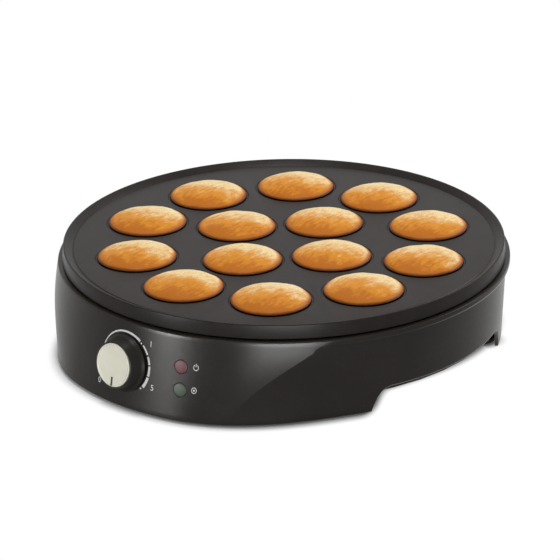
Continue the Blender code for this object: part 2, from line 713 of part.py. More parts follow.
def element_bushes():
    """Ceramic bushes that carry the element's tails through the reflector."""
    bore = ELEMENT_TUBE_R + GAP
    neck = BUSH_R - BUSH_WALL / 2
    shoulder = PAN_FLOOR_Z + PAN_T + GAP
    foot = PAN_FLOOR_Z - BUSH_H / 2
    for name, side in (("right", 1), ("left", -1)):
        profile = [(bore, shoulder + BUSH_WALL), (BUSH_R, shoulder + BUSH_WALL),
                   (BUSH_R, shoulder), (neck, shoulder), (neck, foot), (bore, foot)]
        bush = turned(f"element_bush_{name}", profile, closed=True,
                      place=upright(ELEMENT_R, side * ELEMENT_END_DEG, 0))
        as_part(bush, *CERAMIC)


def plate_sensor():
    """Sensor cup that stands on the reflector and touches the plate's underside."""
    top = FIELD_Z - PLATE_T - GAP
    foot = PAN_FLOOR_Z + PAN_T + GAP
    tail = PAN_FLOOR_Z - SENSOR_TAIL
    profile = [(0, top), (SENSOR_R - EDGE, top), (SENSOR_R, top - EDGE),
               (SENSOR_R, foot + SENSOR_FLANGE_T), (SENSOR_FLANGE_R, foot + SENSOR_FLANGE_T),
               (SENSOR_FLANGE_R, foot), (SENSOR_STEM_R, foot), (SENSOR_STEM_R, tail), (0, tail)]
    return as_part(turned("plate_sensor", profile), *BRIGHT_STEEL)


def knob():
    """Round knob: a moulded body with a flared foot, a metal face and a pointer line."""
    place = knob_frame()
    top, foot = KNOB_H, KNOB_STANDOFF
    recess = top - KNOB_RECESS
    lip_r = CAP_R + GAP
    bore = SHAFT_R + GAP
    hub = bore + HUB_WALL
    ceiling = recess - KNOB_SHELL
    profile = [(0, recess), (lip_r, recess), (lip_r, top), (KNOB_TOP_R - EDGE, top),
               (KNOB_TOP_R, top - EDGE), (KNOB_FOOT_R, KNOB_FOOT_H),
               (KNOB_BASE_R, foot + EDGE), (KNOB_BASE_R, foot),
               (KNOB_BASE_R - EDGE, foot), (KNOB_FOOT_R - KNOB_SHELL, KNOB_FOOT_H),
               (KNOB_TOP_R - KNOB_SHELL, ceiling), (hub, ceiling), (hub, foot + EDGE),
               (bore, foot + EDGE), (bore, ceiling - EDGE), (0, ceiling - EDGE)]
    as_part(turned("knob_body", profile, KNOB_STEPS, place), *BLACK_PLASTIC)

    face_z = recess + GAP + CAP_T
    cap = turned("knob_face", [(0, face_z), (CAP_R - EDGE, face_z), (CAP_R, face_z - EDGE),
                               (CAP_R, recess + GAP), (0, recess + GAP)],
                 KNOB_STEPS, place)
    middle = CAP_R - POINTER_L / 2 - EDGE
    slot = box("pointer_slot", (POINTER_W + 2 * GAP, POINTER_L + 2 * GAP, 2 * POINTER_T),
               place @ Matrix.Translation((0, -middle, face_z)), collection=CUTTERS)
    combine(cap, slot)
    as_part(cap, *CREAM_METAL)
    floor = face_z - POINTER_T + GAP
    pointer = box("knob_pointer", (POINTER_W, POINTER_L, POINTER_T),
                  place @ Matrix.Translation((0, -middle, floor + POINTER_T / 2)))
    as_part(pointer, *BLACK_PLASTIC)

    shaft_top = ceiling - EDGE - GAP
    shaft_low = -bracket_back() - THERMOSTAT_L / 2
    shaft = solid_cylinder("thermostat_shaft", SHAFT_R, shaft_low, shaft_top, place)
    as_part(shaft, *BRIGHT_STEEL)


def bracket_back():
    """Depth of the bracket's rear face behind the panel's outer face."""
    return WALL + BRACKET_BACK + BRACKET_T


def thermostat():
    """Thermostat behind the knob: a sheet bracket and a moulded body round the shaft."""
    place = knob_frame()
    way = SHAFT_R + GAP
    middle = -bracket_back() + BRACKET_T / 2
    bracket = box("thermostat_bracket", (BRACKET_W, BRACKET_H, BRACKET_T),
                  place @ Matrix.Translation((0, 0, middle)))
    body_top = -bracket_back() - GAP
    body = box("thermostat_body", (THERMOSTAT_W, 2 * THERMOSTAT_R, THERMOSTAT_L),
               place @ Matrix.Translation((0, 0, body_top - THERMOSTAT_L / 2)), EDGE)
    for piece, low in ((bracket, -bracket_back() - OVERRUN),
                       (body, -bracket_back() - THERMOSTAT_L / 2 - GAP)):
        hole = solid_cylinder(piece.name + "_bore", way, low, 0, place, collection=CUTTERS)
        combine(piece, hole)
    as_part(bracket, *BRIGHT_STEEL)
    as_part(body, *BROWN_MOULDING)


def indicator_lamps():
    """A power lamp over a ready lamp: a coloured lens through the wall and its lamp."""
    finishes = {"power": ((0.45, 0.03, 0.03), 0.25, 0.0), "ready": ((0.03, 0.20, 0.08), 0.25, 0.0)}
    for name, height in zip(finishes, LAMP_HEIGHTS):
        place = lamp_frame(height)
        flange = -WALL - LENS_CLEARANCE
        back = flange - LENS_FLANGE_T
        lens = turned(f"{name}_lens",
                      [(0, LENS_DOME), (LENS_R / 2, LENS_DOME - EDGE / 2), (LENS_R, 0),
                       (LENS_R, flange), (LENS_FLANGE_R, flange), (LENS_FLANGE_R, back),
                       (0, back)], place=place)
        as_part(lens, *finishes[name])
        lamp = solid_cylinder(f"{name}_lamp", LAMP_R, back - GAP - LAMP_L, back - GAP, place)
        as_part(lamp, *CERAMIC)


def cord_inlet():
    """Round bush in the rear wall where the mains lead goes in."""
    profile = [(INLET_BORE_R, INLET_FLANGE_T + GAP), (INLET_FLANGE_R - EDGE, INLET_FLANGE_T + GAP),
               (INLET_FLANGE_R, INLET_FLANGE_T + GAP - EDGE), (INLET_FLANGE_R, GAP),
               (INLET_R, GAP), (INLET_R, -INLET_L), (INLET_BORE_R, -INLET_L)]
    inlet = turned("cord_inlet", profile, place=inlet_frame(), closed=True)
    return as_part(inlet, *RUBBER)


def wiring():
    """Terminal block, thermal fuse and the leads between them and what they feed."""
    block_z = COVER_Z + COVER_T + GAP + BLOCK_H / 2
    block_place = upright(BLOCK_RING_R, BLOCK_DEG, block_z)
    block = box("terminal_block", (BLOCK_D, BLOCK_W, BLOCK_H), block_place, EDGE)
    as_part(block, *CERAMIC)

    fuse_z = PAN_FLOOR_Z - GAP - FUSE_R
    fuse_place = upright(FUSE_RING_R, FUSE_DEG, fuse_z) @ Matrix.Rotation(math.pi / 2, 4, 'Y')
    fuse = solid_cylinder("thermal_fuse", FUSE_R, -FUSE_L / 2, FUSE_L / 2, fuse_place, 10)
    as_part(fuse, *BRIGHT_STEEL)

    frame = knob_frame()
    behind = -bracket_back() - THERMOSTAT_L - 2 * GAP
    spread = BLOCK_W / 3
    corner = THERMOSTAT_W / 3
    down = Vector((0, 0, -1))
    inward = -(block_place.to_3x3() @ Vector((1, 0, 0)))
    backward = -(frame.to_3x3() @ Vector((0, 0, 1)))
    fuse_axis = fuse_place.to_3x3() @ Vector((0, 0, 1))
    block_side = -BLOCK_D / 2 - GAP
    tails = [(on_ring(ELEMENT_R, side * ELEMENT_END_DEG, ELEMENT_TAIL_Z - GAP), down)
             for side in (1, -1)]
    taps = [(frame @ Vector((side * corner, 0, behind)), backward) for side in (1, -1)]
    block_fuse = (block_place @ Vector((block_side, -spread, 0)), inward)
    block_middle = (block_place @ Vector((block_side, 0, 0)), inward)
    fuse_outer = (fuse_place @ Vector((0, 0, FUSE_L / 2 + GAP)), fuse_axis)
    fuse_inner = (fuse_place @ Vector((0, 0, -FUSE_L / 2 - GAP)), -fuse_axis)
    runs = {"wire_block_to_fuse": (block_fuse, fuse_outer),
            "wire_fuse_to_element": (fuse_inner, tails[0]),
            "wire_block_to_thermostat": (block_middle, taps[0]),
            "wire_thermostat_to_element": (taps[1], tails[1])}
    for name, ends in runs.items():
        as_part(tube(name, lead(*ends), WIRE_R, 1), *WIRE_RED)

    sensor_end = (Vector((0, 0, PAN_FLOOR_Z - SENSOR_TAIL - GAP)), down)
    bulb_tap = (frame @ Vector((0, THERMOSTAT_R / 2, behind)), backward)
    as_part(tube("sensor_capillary", lead(sensor_end, bulb_tap), CAPILLARY_R, 1), *BRIGHT_STEEL)


def lead(start, end):
    """The route of a lead that leaves both of its ends squarely, each a place and a direction."""
    first, last = (place + out * WIRE_STUB for place, out in (start, end))
    first_pull, last_pull = (place + out * WIRE_BEND for place, out in (start, end))
    points = [start[0]]
    for step in range(WIRE_POINTS):
        share = step / (WIRE_POINTS - 1)
        rest = 1 - share
        points.append(first * rest ** 3 + first_pull * (3 * share * rest ** 2)
                      + last_pull * (3 * share ** 2 * rest) + last * share ** 3)
    points.append(end[0])
    return points


def set_back(setback):
    """Hangs every part and cutter on the drum's axis, set back from the footprint's middle."""
    axis = bpy.data.objects.new("drum_axis", None)
    PARTS.objects.link(axis)
    axis.location.y = setback
    for obj in [*PARTS.objects, *CUTTERS.objects]:
        if obj is not axis:
            obj.parent = axis


base_housing()
seat_ring()
bottom_cover()
feet()
cover_screws()
heat_reflector()
heating_element()
element_clamps()
element_bushes()
plate_sensor()
cooking_plate()
pancakes()
knob()
thermostat()
indicator_lamps()
cord_inlet()
wiring()
set_back(DRUM_SETBACK)
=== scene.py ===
"""Pancake pop maker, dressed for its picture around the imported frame.

Metres, +Z up, front towards -Y. Angles round the drum are in degrees from the front, positive
towards +X, and every round part turns on the axis of the cooking plate.
"""
import json
import math

import bmesh
import bpy
from mathutils import Matrix, Vector, noise


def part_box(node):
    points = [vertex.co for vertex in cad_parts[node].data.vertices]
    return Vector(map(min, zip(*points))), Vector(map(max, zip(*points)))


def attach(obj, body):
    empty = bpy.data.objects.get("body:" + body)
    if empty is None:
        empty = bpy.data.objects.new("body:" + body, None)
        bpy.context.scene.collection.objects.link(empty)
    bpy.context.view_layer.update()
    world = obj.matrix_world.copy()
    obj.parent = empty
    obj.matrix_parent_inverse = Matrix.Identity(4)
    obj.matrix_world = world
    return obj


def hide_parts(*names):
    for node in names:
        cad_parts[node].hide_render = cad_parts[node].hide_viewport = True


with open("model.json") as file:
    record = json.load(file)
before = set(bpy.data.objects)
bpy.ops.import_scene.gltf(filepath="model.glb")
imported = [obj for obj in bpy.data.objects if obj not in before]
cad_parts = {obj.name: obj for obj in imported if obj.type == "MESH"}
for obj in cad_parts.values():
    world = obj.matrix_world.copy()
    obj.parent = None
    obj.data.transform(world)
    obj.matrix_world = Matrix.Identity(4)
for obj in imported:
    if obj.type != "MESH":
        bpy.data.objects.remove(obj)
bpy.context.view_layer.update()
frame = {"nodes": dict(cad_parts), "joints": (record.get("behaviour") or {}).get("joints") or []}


# Camera
# Stands where the photographer stood, to the right of the front and a little above the plate.
# Its distance, height, turn and lens come from a fit to the rim, the wells and the drum's foot.
PLATE_LOW, PLATE_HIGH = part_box("cooking_plate")
AXIS = Vector(((PLATE_LOW.x + PLATE_HIGH.x) / 2, (PLATE_LOW.y + PLATE_HIGH.y) / 2, 0))
IMAGE_PX = 560
FOCAL_PX = 4003.97
VIEW_DISTANCE = 2.7073
VIEW_DEG, VIEW_RISE_DEG, VIEW_ROLL_DEG = 44.0, 22.723, -1.026
AIM_Z = 0.0680                  # the aimed point on the axis, and where the picture has it
AIM_PX = (283.77, 240.08)
SENSOR_MM = 36

look = (Matrix.Rotation(math.radians(VIEW_DEG), 4, 'Z')
        @ Matrix.Rotation(math.radians(90 - VIEW_RISE_DEG), 4, 'X')
        @ Matrix.Rotation(math.radians(VIEW_ROLL_DEG), 4, 'Z'))
aim = Vector(((AIM_PX[0] - IMAGE_PX / 2) / FOCAL_PX, (IMAGE_PX / 2 - AIM_PX[1]) / FOCAL_PX, -1))
stand = AXIS + Vector((0, 0, AIM_Z)) - look.to_3x3() @ (aim * VIEW_DISTANCE)
photo_lens = bpy.data.cameras.new("photo_camera")
photo_lens.sensor_fit = 'HORIZONTAL'
photo_lens.sensor_width = SENSOR_MM
photo_lens.lens = SENSOR_MM * FOCAL_PX / IMAGE_PX
camera = bpy.data.objects.new("photo_camera", photo_lens)
camera.matrix_world = Matrix.Translation(stand) @ look
bpy.context.scene.collection.objects.link(camera)
bpy.context.scene.camera = camera
bpy.context.scene.view_settings.view_transform = 'Standard'


# Floor, surround and lamps
# A plain white table in a white room. Round the object's foot and under the arches the floor's
# white glow is dimmed: a painted shadow, with the lamps' own soft shadow showing through it.
# The lamps are large soft boxes, and two low strips show only as soft bands in the dark housing.
HOUSING_LOW, HOUSING_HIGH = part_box("base_housing")
PANEL_EDGE_DEG, ROLL_START_DEG = 62.5, 16.5     # the panel's edge, and where its foot rolls off
DRUM_INSET = 0.0057             # the drum's foot inside the flange
CORNERS = [f"{end}_{hand}" for end in ("front", "rear") for hand in ("left", "right")]
FLOOR_R, FLOOR_SIDES = 4.0, 96
FLOOR_COLOUR = (0.86, 0.86, 0.86, 1)
FOOT_GLOW, SHADOW_W = 0.06, 0.008               # the floor's glow at the foot, and the shade
SHADOW_IN = SHADOW_W / 4                        # the shade starts this far under the edge
ARCH_SHADE_DEG = (62.0, 79.0, 150.0)            # the shade is drawn in under the arches
ARCH_SHADE_IN = 0.0315
ROOM_LIGHT = 0.45
SOFT_BOXES = {
    # name: angle from the front, rise in degrees, distance, width, height, watts
    "back_right_lamp": (165.0, 38.0, 1.9, 0.80, 0.80, 14.2),
    "overhead_lamp": (-136.0, 88.0, 1.8, 0.40, 0.40, 10.0),
    "front_fill": (5.0, 30.0, 2.2, 1.00, 1.00, 6.0),
    "near_strip": (44.0, -0.5, 1.6, 0.84, 0.10, 30.0),
    "left_strip": (-11.0, -0.5, 1.6, 0.36, 0.10, 20.0),
}


class Shade:
    """A socket in a material's nodes. Arithmetic on it adds the nodes that work it out."""

    def __init__(self, tree, socket=None):
        self.tree = tree
        self.socket = socket

    def node(self, kind, settings=None, sockets=None, output=0):
        """Adds a node: its settings first, then its sockets, each a value or another Shade."""
        made = self.tree.nodes.new("ShaderNode" + kind)
        for name, value in (settings or {}).items():
            setattr(made, name, value)
        for name, value in (sockets or {}).items():
            if isinstance(value, Shade):
                self.tree.links.new(value.socket, made.inputs[name])
            else:
                made.inputs[name].default_value = value
        return Shade(self.tree, made.outputs[output] if made.outputs else None)

    def math(self, operation, first, second=0.0):
        return self.node("Math", {"operation": operation}, {0: first, 1: second})

    def __add__(self, other):
        return self.math('ADD', self, other)

    def __radd__(self, other):
        return self.math('ADD', other, self)

    def __sub__(self, other):
        return self.math('SUBTRACT', self, other)

    def __rsub__(self, other):
        return self.math('SUBTRACT', other, self)

    def __mul__(self, other):
        return self.math('MULTIPLY', self, other)

    def __rmul__(self, other):
        return self.math('MULTIPLY', other, self)

    def root(self):
        return self.math('SQRT', self)

    def size(self):
        """This value without its sign."""
        return self.math('ABSOLUTE', self)

    def noise(self, scale, detail):
        """Soft noise of so many cells to the metre at this place."""
        return self.node("TexNoise", None, {"Vector": self, "Scale": scale, "Detail": detail})

    def spread(self, low, high, start=0.0, end=1.0):
        """Goes smoothly from start to end as this socket goes from low to high."""
        return self.node("MapRange", {"interpolation_type": 'SMOOTHSTEP'},
                         {0: self, 1: low, 2: high, 3: start, 4: end})

    def mix(self, low, high):
        """A colour between two, each a colour or a Shade, by this socket."""
        ends = [end if isinstance(end, Shade) else (*end, 1) for end in (low, high)]
        return self.node("Mix", {"data_type": 'RGBA'}, {0: self, 6: ends[0], 7: ends[1]}, 2)

    def axis(self, name):
        return self.node("SeparateXYZ", None, {0: self}, name)

    def bump(self, distance):
        """A normal for relief of this depth in metres."""
        return self.node("Bump", None, {"Height": self, "Distance": distance}, "Normal")


def place_in(start):
    """Where a point of the surface is, in metres."""
    return start.node("TexCoord", None, None, "Object")


def seen_rays(start):
    """1 for rays from the camera, also by way of a mirror or a window, and 0 for light."""
    rays = [start.node("LightPath", None, None, name)
            for name in ("Is Camera Ray", "Is Glossy Ray", "Is Transmission Ray")]
    return rays[0] + rays[1] + rays[2]


def flat_disc(name, radius):
    bm = bmesh.new()
    bmesh.ops.create_circle(bm, cap_ends=True, segments=FLOOR_SIDES, radius=radius)
    mesh = bpy.data.meshes.new(name)
    bm.to_mesh(mesh)
    bm.free()
    disc = bpy.data.objects.new(name, mesh)
    bpy.context.scene.collection.objects.link(disc)
    return disc


def floor_material():
    made = bpy.data.materials.new("white_floor")
    made.use_nodes = True
    tree = made.node_tree
    tree.nodes.clear()
    start = Shade(tree)
    place = place_in(start)
    across, along = place.axis("X") - AXIS.x, place.axis("Y") - AXIS.y
    turn = start.math('ARCTAN2', across, along * -1.0).size()
    foot = turn.spread(math.radians(ROLL_START_DEG), math.radians(PANEL_EDGE_DEG),
                       AXIS.y - HOUSING_LOW.y, HOUSING_HIGH.y - AXIS.y - DRUM_INSET)
    near, deep, far = (math.radians(angle) for angle in ARCH_SHADE_DEG)
    arch = turn.spread(near, deep, 0.0, ARCH_SHADE_IN) - turn.spread(deep, far, 0.0, ARCH_SHADE_IN)
    away = (across * across + along * along).root() - foot + arch
    for corner in CORNERS:
        low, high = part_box(f"{corner}_foot_pad")
        middle = (low + high) / 2 - AXIS
        pad_x, pad_y = across - middle.x, along - middle.y
        beside = (pad_x * pad_x + pad_y * pad_y).root() - (high.x - low.x) / 2
        away = start.math('MINIMUM', away, beside - SHADOW_IN)
    # A painted shadow: the floor's white glow fades near the foot, the pads and under the arches.
    share = away.spread(-SHADOW_IN, SHADOW_W, FOOT_GLOW, 1.0)
    matt = start.node("BsdfDiffuse", None, {"Color": FLOOR_COLOUR})
    glow = start.node("Emission", None, {"Strength": 1.0})
    floor = start.node("MixShader", None, {0: seen_rays(start) * share, 1: matt, 2: glow})
    start.node("OutputMaterial", None, {"Surface": floor})
    return made


def light_room():
    world = bpy.data.worlds.new("white_room")
    world.use_nodes = True
    bpy.context.scene.world = world
    world.node_tree.nodes.clear()
    start = Shade(world.node_tree)
    lit = start.node("Background", None, {"Strength": ROOM_LIGHT})
    seen = start.node("Background", None, {"Color": (1, 1, 1, 1), "Strength": 1.0})
    room = start.node("MixShader", None, {0: seen_rays(start), 1: lit, 2: seen})
    start.node("OutputWorld", None, {"Surface": room})


floor = flat_disc("floor", FLOOR_R)
floor.data.materials.append(floor_material())
light_room()


def on_ring(radius, degrees, height):
    """A point at an angle from the front, positive towards +X."""
    angle = math.radians(degrees)
    return AXIS + Vector((radius * math.sin(angle), -radius * math.cos(angle), height))


def soft_box(name, degrees, rise_deg, distance, width, height, watts):
    """A lamp that faces the object's middle, out of the picture. A strip gives reflections only."""
    rise = math.radians(rise_deg)
    lamp = bpy.data.lights.new(name, 'AREA')
    lamp.shape = 'RECTANGLE'
    lamp.size, lamp.size_y, lamp.energy = width, height, watts
    stand = bpy.data.objects.new(name, lamp)
    stand.location = on_ring(distance * math.cos(rise), degrees, AIM_Z + distance * math.sin(rise))
    outward = stand.location - AXIS - Vector((0, 0, AIM_Z))
    stand.rotation_euler = outward.to_track_quat('Z', 'Y').to_euler()
    stand.visible_camera = False
    stand.visible_diffuse = not name.endswith("strip")
    bpy.context.scene.collection.objects.link(stand)


for name, setting in SOFT_BOXES.items():
    soft_box(name, *setting)


# Legs and foot pads
# Four stout legs moulded in the housing's black plastic stand under the drum on rubber pads.
# Only the rear right leg shows, in the low arch at the side. They keep the frame's solids.
BLACK = (0.0200, 0.0163, 0.0136)
WORN_BLACK = (0.0238, 0.0198, 0.0167)
RUBBER = (0.012, 0.012, 0.0115)
PLASTIC_SHINE, PLASTIC_ROUGH = 0.12, 0.27
RUBBER_SHINE, RUBBER_ROUGH, RUBBER_GRAIN = 0.25, 0.78, 0.00004
GRAIN_CELLS, CLOUD_CELLS = 2400, 28.0   # moulded grain and clouds of gloss, cells to the metre
GRAIN_DEPTH = 0.00002
CLOUDY = (0.3, 0.7)             # where soft noise goes from one colour to the other


def surface(name, constants, vary):
    """A material: constants go on its shader's sockets and vary() feeds what changes over it."""
    made = bpy.data.materials.new(name)
    made.use_nodes = True
    tree = made.node_tree
    shader = tree.nodes["Principled BSDF"]
    for socket, value in constants.items():
        shader.inputs[socket].default_value = value
    start = Shade(tree)
    for socket, shade in vary(start).items():
        tree.links.new(shade.socket, shader.inputs[socket])
    return made


def moulded(roughness, low, high, depth=GRAIN_DEPTH):
    """Fine moulded grain with slight clouds of colour and gloss."""
    def vary(start):
        place = place_in(start)
        grain = place.noise(GRAIN_CELLS, 3.0)
        clouds = place.noise(CLOUD_CELLS, 3.0)
        return {"Base Color": clouds.spread(*CLOUDY).mix(low, high),
                "Roughness": roughness - 0.07 + clouds * 0.08 + grain * 0.06,
                "Normal": grain.bump(depth)}
    return vary


def dress(material, *nodes):
    """Gives the frame's own solids a material."""
    for node in nodes:
        slots = frame["nodes"][node].data.materials
        slots.clear()
        slots.append(material)


moulding = surface("black_moulding", {"Specular IOR Level": PLASTIC_SHINE},
                   moulded(PLASTIC_ROUGH, BLACK, WORN_BLACK))
rubber = surface("foot_rubber", {"Specular IOR Level": RUBBER_SHINE},
                 moulded(RUBBER_ROUGH, RUBBER, WORN_BLACK, RUBBER_GRAIN))
dress(moulding, *(f"{corner}_leg" for corner in CORNERS))
dress(rubber, *(f"{corner}_foot_pad" for corner in CORNERS))


# Bottom cover and its screws
# A black tray with vent slots closes the drum from below. Four pan-head steel screws go
# through it into the posts of the seat ring. The frame's solids have their shapes.
STEEL = (0.58, 0.57, 0.55)
DULL_STEEL = (0.44, 0.43, 0.41)
STEEL_ROUGH = 0.32
DRAW_CELLS, DRAW_STRETCH, STAIN_CELLS = 1500.0, 0.06, 45.0  # fine draw marks and soft stains
DRAW_DEPTH = 0.00001
SCREWS = [f"cover_screw_{number}" for number in range(1, 5)]


def rolled(roughness, low, high):
    """Sheet or turned metal: long fine streaks and soft stains."""
    def vary(start):
        place = place_in(start)
        drawn = start.node("Mapping", None, {0: place, "Scale": (1.0, DRAW_STRETCH, 1.0)})
        streaks = drawn.noise(DRAW_CELLS, 3.0)
        stains = place.noise(STAIN_CELLS, 3.0)
        return {"Base Color": stains.spread(0.35, 0.7).mix(low, high),
                "Roughness": roughness - 0.08 + stains * 0.12 + streaks * 0.08,
                "Normal": streaks.bump(DRAW_DEPTH)}
    return vary


steel = surface("bright_steel", {"Metallic": 1.0}, rolled(STEEL_ROUGH, DULL_STEEL, STEEL))
dress(moulding, "bottom_cover")
dress(steel, *SCREWS)


# Housing
# One moulding in black plastic: a flange under the plate, a slightly tapered drum and a front
# panel that leans out flush from the flange. A fold sweeps forward and down along each side of
# the panel and dies out at its foot. The skirt is cut back in a long arch at each side.
DECK_Z, SKIRT_Z = HOUSING_HIGH.z, HOUSING_LOW.z
PLATE_R = (PLATE_HIGH.x - PLATE_LOW.x) / 2
FLANGE_R = PLATE_R + 0.0029
BAND_Z = DECK_Z - 0.0038        # the flange's lower edge
WALL_Z = BAND_Z - 0.0006        # where the drum's wall starts under it
WALL_TOP_R = FLANGE_R - 0.0027
WALL_LOW_R = FLANGE_R - DRUM_INSET
WALL = 0.0024
BORE_R = PLATE_R - 0.0080
TOP_EDGE, FOOT_EDGE = 0.0007, 0.0012
SKIRT_H = DECK_Z - SKIRT_Z
FOLD_TOP_DEG, FOLD_LOW_DEG, FOLD_SWEEP = 55.9, 30.3, 1.6
CRISP_FOLD_Z = 0.0140           # the fold is crisp above this height
ARCH_DEG = (66.0, 72.5, 115.0, 121.0)
ARCH_H, ARCH_SWEEP = 0.0160, 3.0
ARCH_TOP_Z = 0.0240             # the arch pushes the wall together up to this height
EDGE_HIGHLIGHT = (0.26, 0.25, 0.235) # painted highlights on edges: the foot, the arches and the flange's rear
HIGHLIGHT_W, HIGHLIGHT_START_DEG, HIGHLIGHT_FULL_DEG = 0.0007, 75.0, 110.0
HIGHLIGHT_FOOT, HIGHLIGHT_ARCH = 0.3, 0.5   # how bright the painted highlight along the foot is, and how much more so in the arches
WALL_ROWS, INNER_ROWS = 30, 9
COLUMNS = (48, 36, 3, 24, 56, 22, 53)   # of half the drum, between the stops of column_angle
LENS_HOLE_R, INLET_HOLE_R, SHAFT_HOLE_R = 0.0049, 0.0073, 0.0036
HOLE_STEPS = 64
CRISP_DEG = 32.0                # edges that turn by more than this stay crisp
WELD = 0.000001                 # points nearer than this are one
INLET_Z = DECK_Z - 0.0250

knob_joint = next(joint for joint in frame["joints"] if joint["name"] == "knob_turn")
KNOB_SPOT = Vector(knob_joint["pos_m"])
KNOB_OUT = -Vector(knob_joint["axis"]).normalized()
PANEL_SLOPE = KNOB_OUT.z / math.hypot(KNOB_OUT.x, KNOB_OUT.y)


def rounded(corners, steps=4):
    """A profile's points: each corner is a radius, a height and how far its rounding reaches."""
    points = []
    for index, (radius, height, reach) in enumerate(corners):
        corner = Vector((radius, height))
        if not reach:
            points.append(corner)
            continue
        before = Vector(corners[index - 1][:2])
        after = Vector(corners[(index + 1) % len(corners)][:2])
        start = corner + (before - corner).normalized() * reach
        end = corner + (after - corner).normalized() * reach
        for step in range(steps + 1):
            share = step / steps
            points.append(start.lerp(corner, share).lerp(corner.lerp(end, share), share))
    return points


def turned(profile, steps, closed=False):
    """A profile, down its outer side, turned round the Z axis."""
    bm = bmesh.new()
    points = [bm.verts.new((point[0], 0, point[1])) for point in profile]
    pairs = list(zip(points, points[1:]))
    if closed:
        pairs.append((points[-1], points[0]))
    line = points + [bm.edges.new(pair) for pair in pairs]
    bmesh.ops.spin(bm, geom=line, axis=(0, 0, 1), cent=(0, 0, 0), angle=math.tau, steps=steps,
                   use_merge=True)
    bmesh.ops.remove_doubles(bm, verts=bm.verts, dist=WELD)
    bmesh.ops.recalc_face_normals(bm, faces=bm.faces)
    return bm


def object_from(bm, name, place=Matrix.Identity(4)):
    bmesh.ops.transform(bm, matrix=place, verts=bm.verts)
    mesh = bpy.data.meshes.new(name)
    bm.to_mesh(mesh)
    bm.free()
    piece = bpy.data.objects.new(name, mesh)
    bpy.context.scene.collection.objects.link(piece)
    return piece


def cut(piece, cutters, operation='DIFFERENCE'):
    """Cuts other objects out of a piece, or joins them to it, and takes them away."""
    for cutter in cutters:
        step = piece.modifiers.new("cut", 'BOOLEAN')
        step.solver = 'EXACT'
        step.operation = operation
        step.object = cutter
    graph = bpy.context.evaluated_depsgraph_get()
    mesh = bpy.data.meshes.new_from_object(piece.evaluated_get(graph))
    piece.modifiers.clear()
    piece.data = mesh
    for cutter in cutters:
        bpy.data.objects.remove(cutter)


def smooth(piece, crisp_deg=CRISP_DEG):
    """Smooth shading, with crisp edges where the surface turns sharply."""
    bm = bmesh.new()
    bm.from_mesh(piece.data)
    for face in bm.faces:
        face.smooth = True
    for edge in bm.edges:
        if edge.calc_face_angle(0) > math.radians(crisp_deg):
            edge.smooth = False
    bm.to_mesh(piece.data)
    bm.free()


def finish(piece, material, body, slot, *nodes):
    """Gives a piece its material and its body, and hides the solids it stands for."""
    piece.data.materials.clear()
    piece.data.materials.append(material)
    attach(piece, body)
    if nodes:
        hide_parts(*nodes)


def facing(spot, out):
    """A frame with its Z pointing out of a wall and its Y upwards along the wall."""
    side = Vector((0, 0, 1)).cross(out).normalized()
    up = out.cross(side)
    turn = Matrix((side, up, out)).transposed().to_4x4()
    return Matrix.Translation(spot) @ turn


def out_at(degrees, slope):
    """The direction square to a leaning wall."""
    angle = math.radians(degrees)
    return Vector((math.sin(angle), -math.cos(angle), slope)).normalized()


def wall_radius(height):
    return WALL_LOW_R + (WALL_TOP_R - WALL_LOW_R) * (height - SKIRT_Z) / (WALL_Z - SKIRT_Z)


def panel_radius(height):
    return FLANGE_R + PANEL_SLOPE * (DECK_Z - height)


def drop_share(height):
    return min(max((DECK_Z - height) / SKIRT_H, 0.0), 1.0)


def ease(share):
    share = min(max(share, 0.0), 1.0)
    return share * share * (3 - 2 * share)


def fold_angle(height):
    sweep = (1 - drop_share(height)) ** FOLD_SWEEP
    return FOLD_LOW_DEG + (FOLD_TOP_DEG - FOLD_LOW_DEG) * sweep


def panel_share(degrees, height):
    """1 on the panel's face and 0 on the drum: a crisp fold above, a soft roll at the foot."""
    away = PANEL_EDGE_DEG - abs(degrees)
    fold = min(max(away / (PANEL_EDGE_DEG - fold_angle(height)), 0.0), 1.0) ** 2
    roll = ease(away / (PANEL_EDGE_DEG - ROLL_START_DEG))
    return fold + (roll - fold) * drop_share(height) ** 2


def arch_share(degrees):
    """0 where the skirt comes down to the table and 1 where it is cut back."""
    start, front, rear, end = ARCH_DEG
    share = min((abs(degrees) - start) / (front - start), (end - abs(degrees)) / (end - rear))
    return 1 - (1 - min(max(share, 0.0), 1.0)) ** ARCH_SWEEP


def column_angle(column, height):
    """The angle of a column of the wall: columns gather where the shape changes."""
    stops = (fold_angle(height), PANEL_EDGE_DEG, *ARCH_DEG, 180.0)
    start, left = 0.0, abs(column)
    for count, end in zip(COLUMNS, stops):
        if left <= count:
            return math.copysign(start + (end - start) * left / count, column)
        start = end
        left -= count
    return math.copysign(start, column)


def skin_radius(radius, height):
    """The round drum's outer face at this height, for a point of its section."""
    if height < WALL_Z:
        return wall_radius(height)
    inside = radius < WALL_TOP_R - WALL / 2
    return FLANGE_R if inside or height > DECK_Z - TOP_EDGE else radius


def housing_section():
    low = SKIRT_Z + 2 * FOOT_EDGE
    outer = [(BORE_R, DECK_Z, 0), (FLANGE_R, DECK_Z, TOP_EDGE), (FLANGE_R, BAND_Z, TOP_EDGE),
             (WALL_TOP_R, WALL_Z, 0)]
    for row in range(1, WALL_ROWS):
        height = WALL_Z + (low - WALL_Z) * row / WALL_ROWS
        outer.append((wall_radius(height), height, 0))
    foot = [(WALL_LOW_R, SKIRT_Z, FOOT_EDGE), (WALL_LOW_R - WALL, SKIRT_Z, 0)]
    inner = []
    for row in range(INNER_ROWS):
        height = low + (WALL_Z - WALL - low) * row / INNER_ROWS
        inner.append((wall_radius(height) - WALL, height, 0))
    under = DECK_Z - WALL
    roof = [(wall_radius(under) - WALL, under, 0), (BORE_R, under, 0)]
    return rounded(outer + foot + inner + roof)


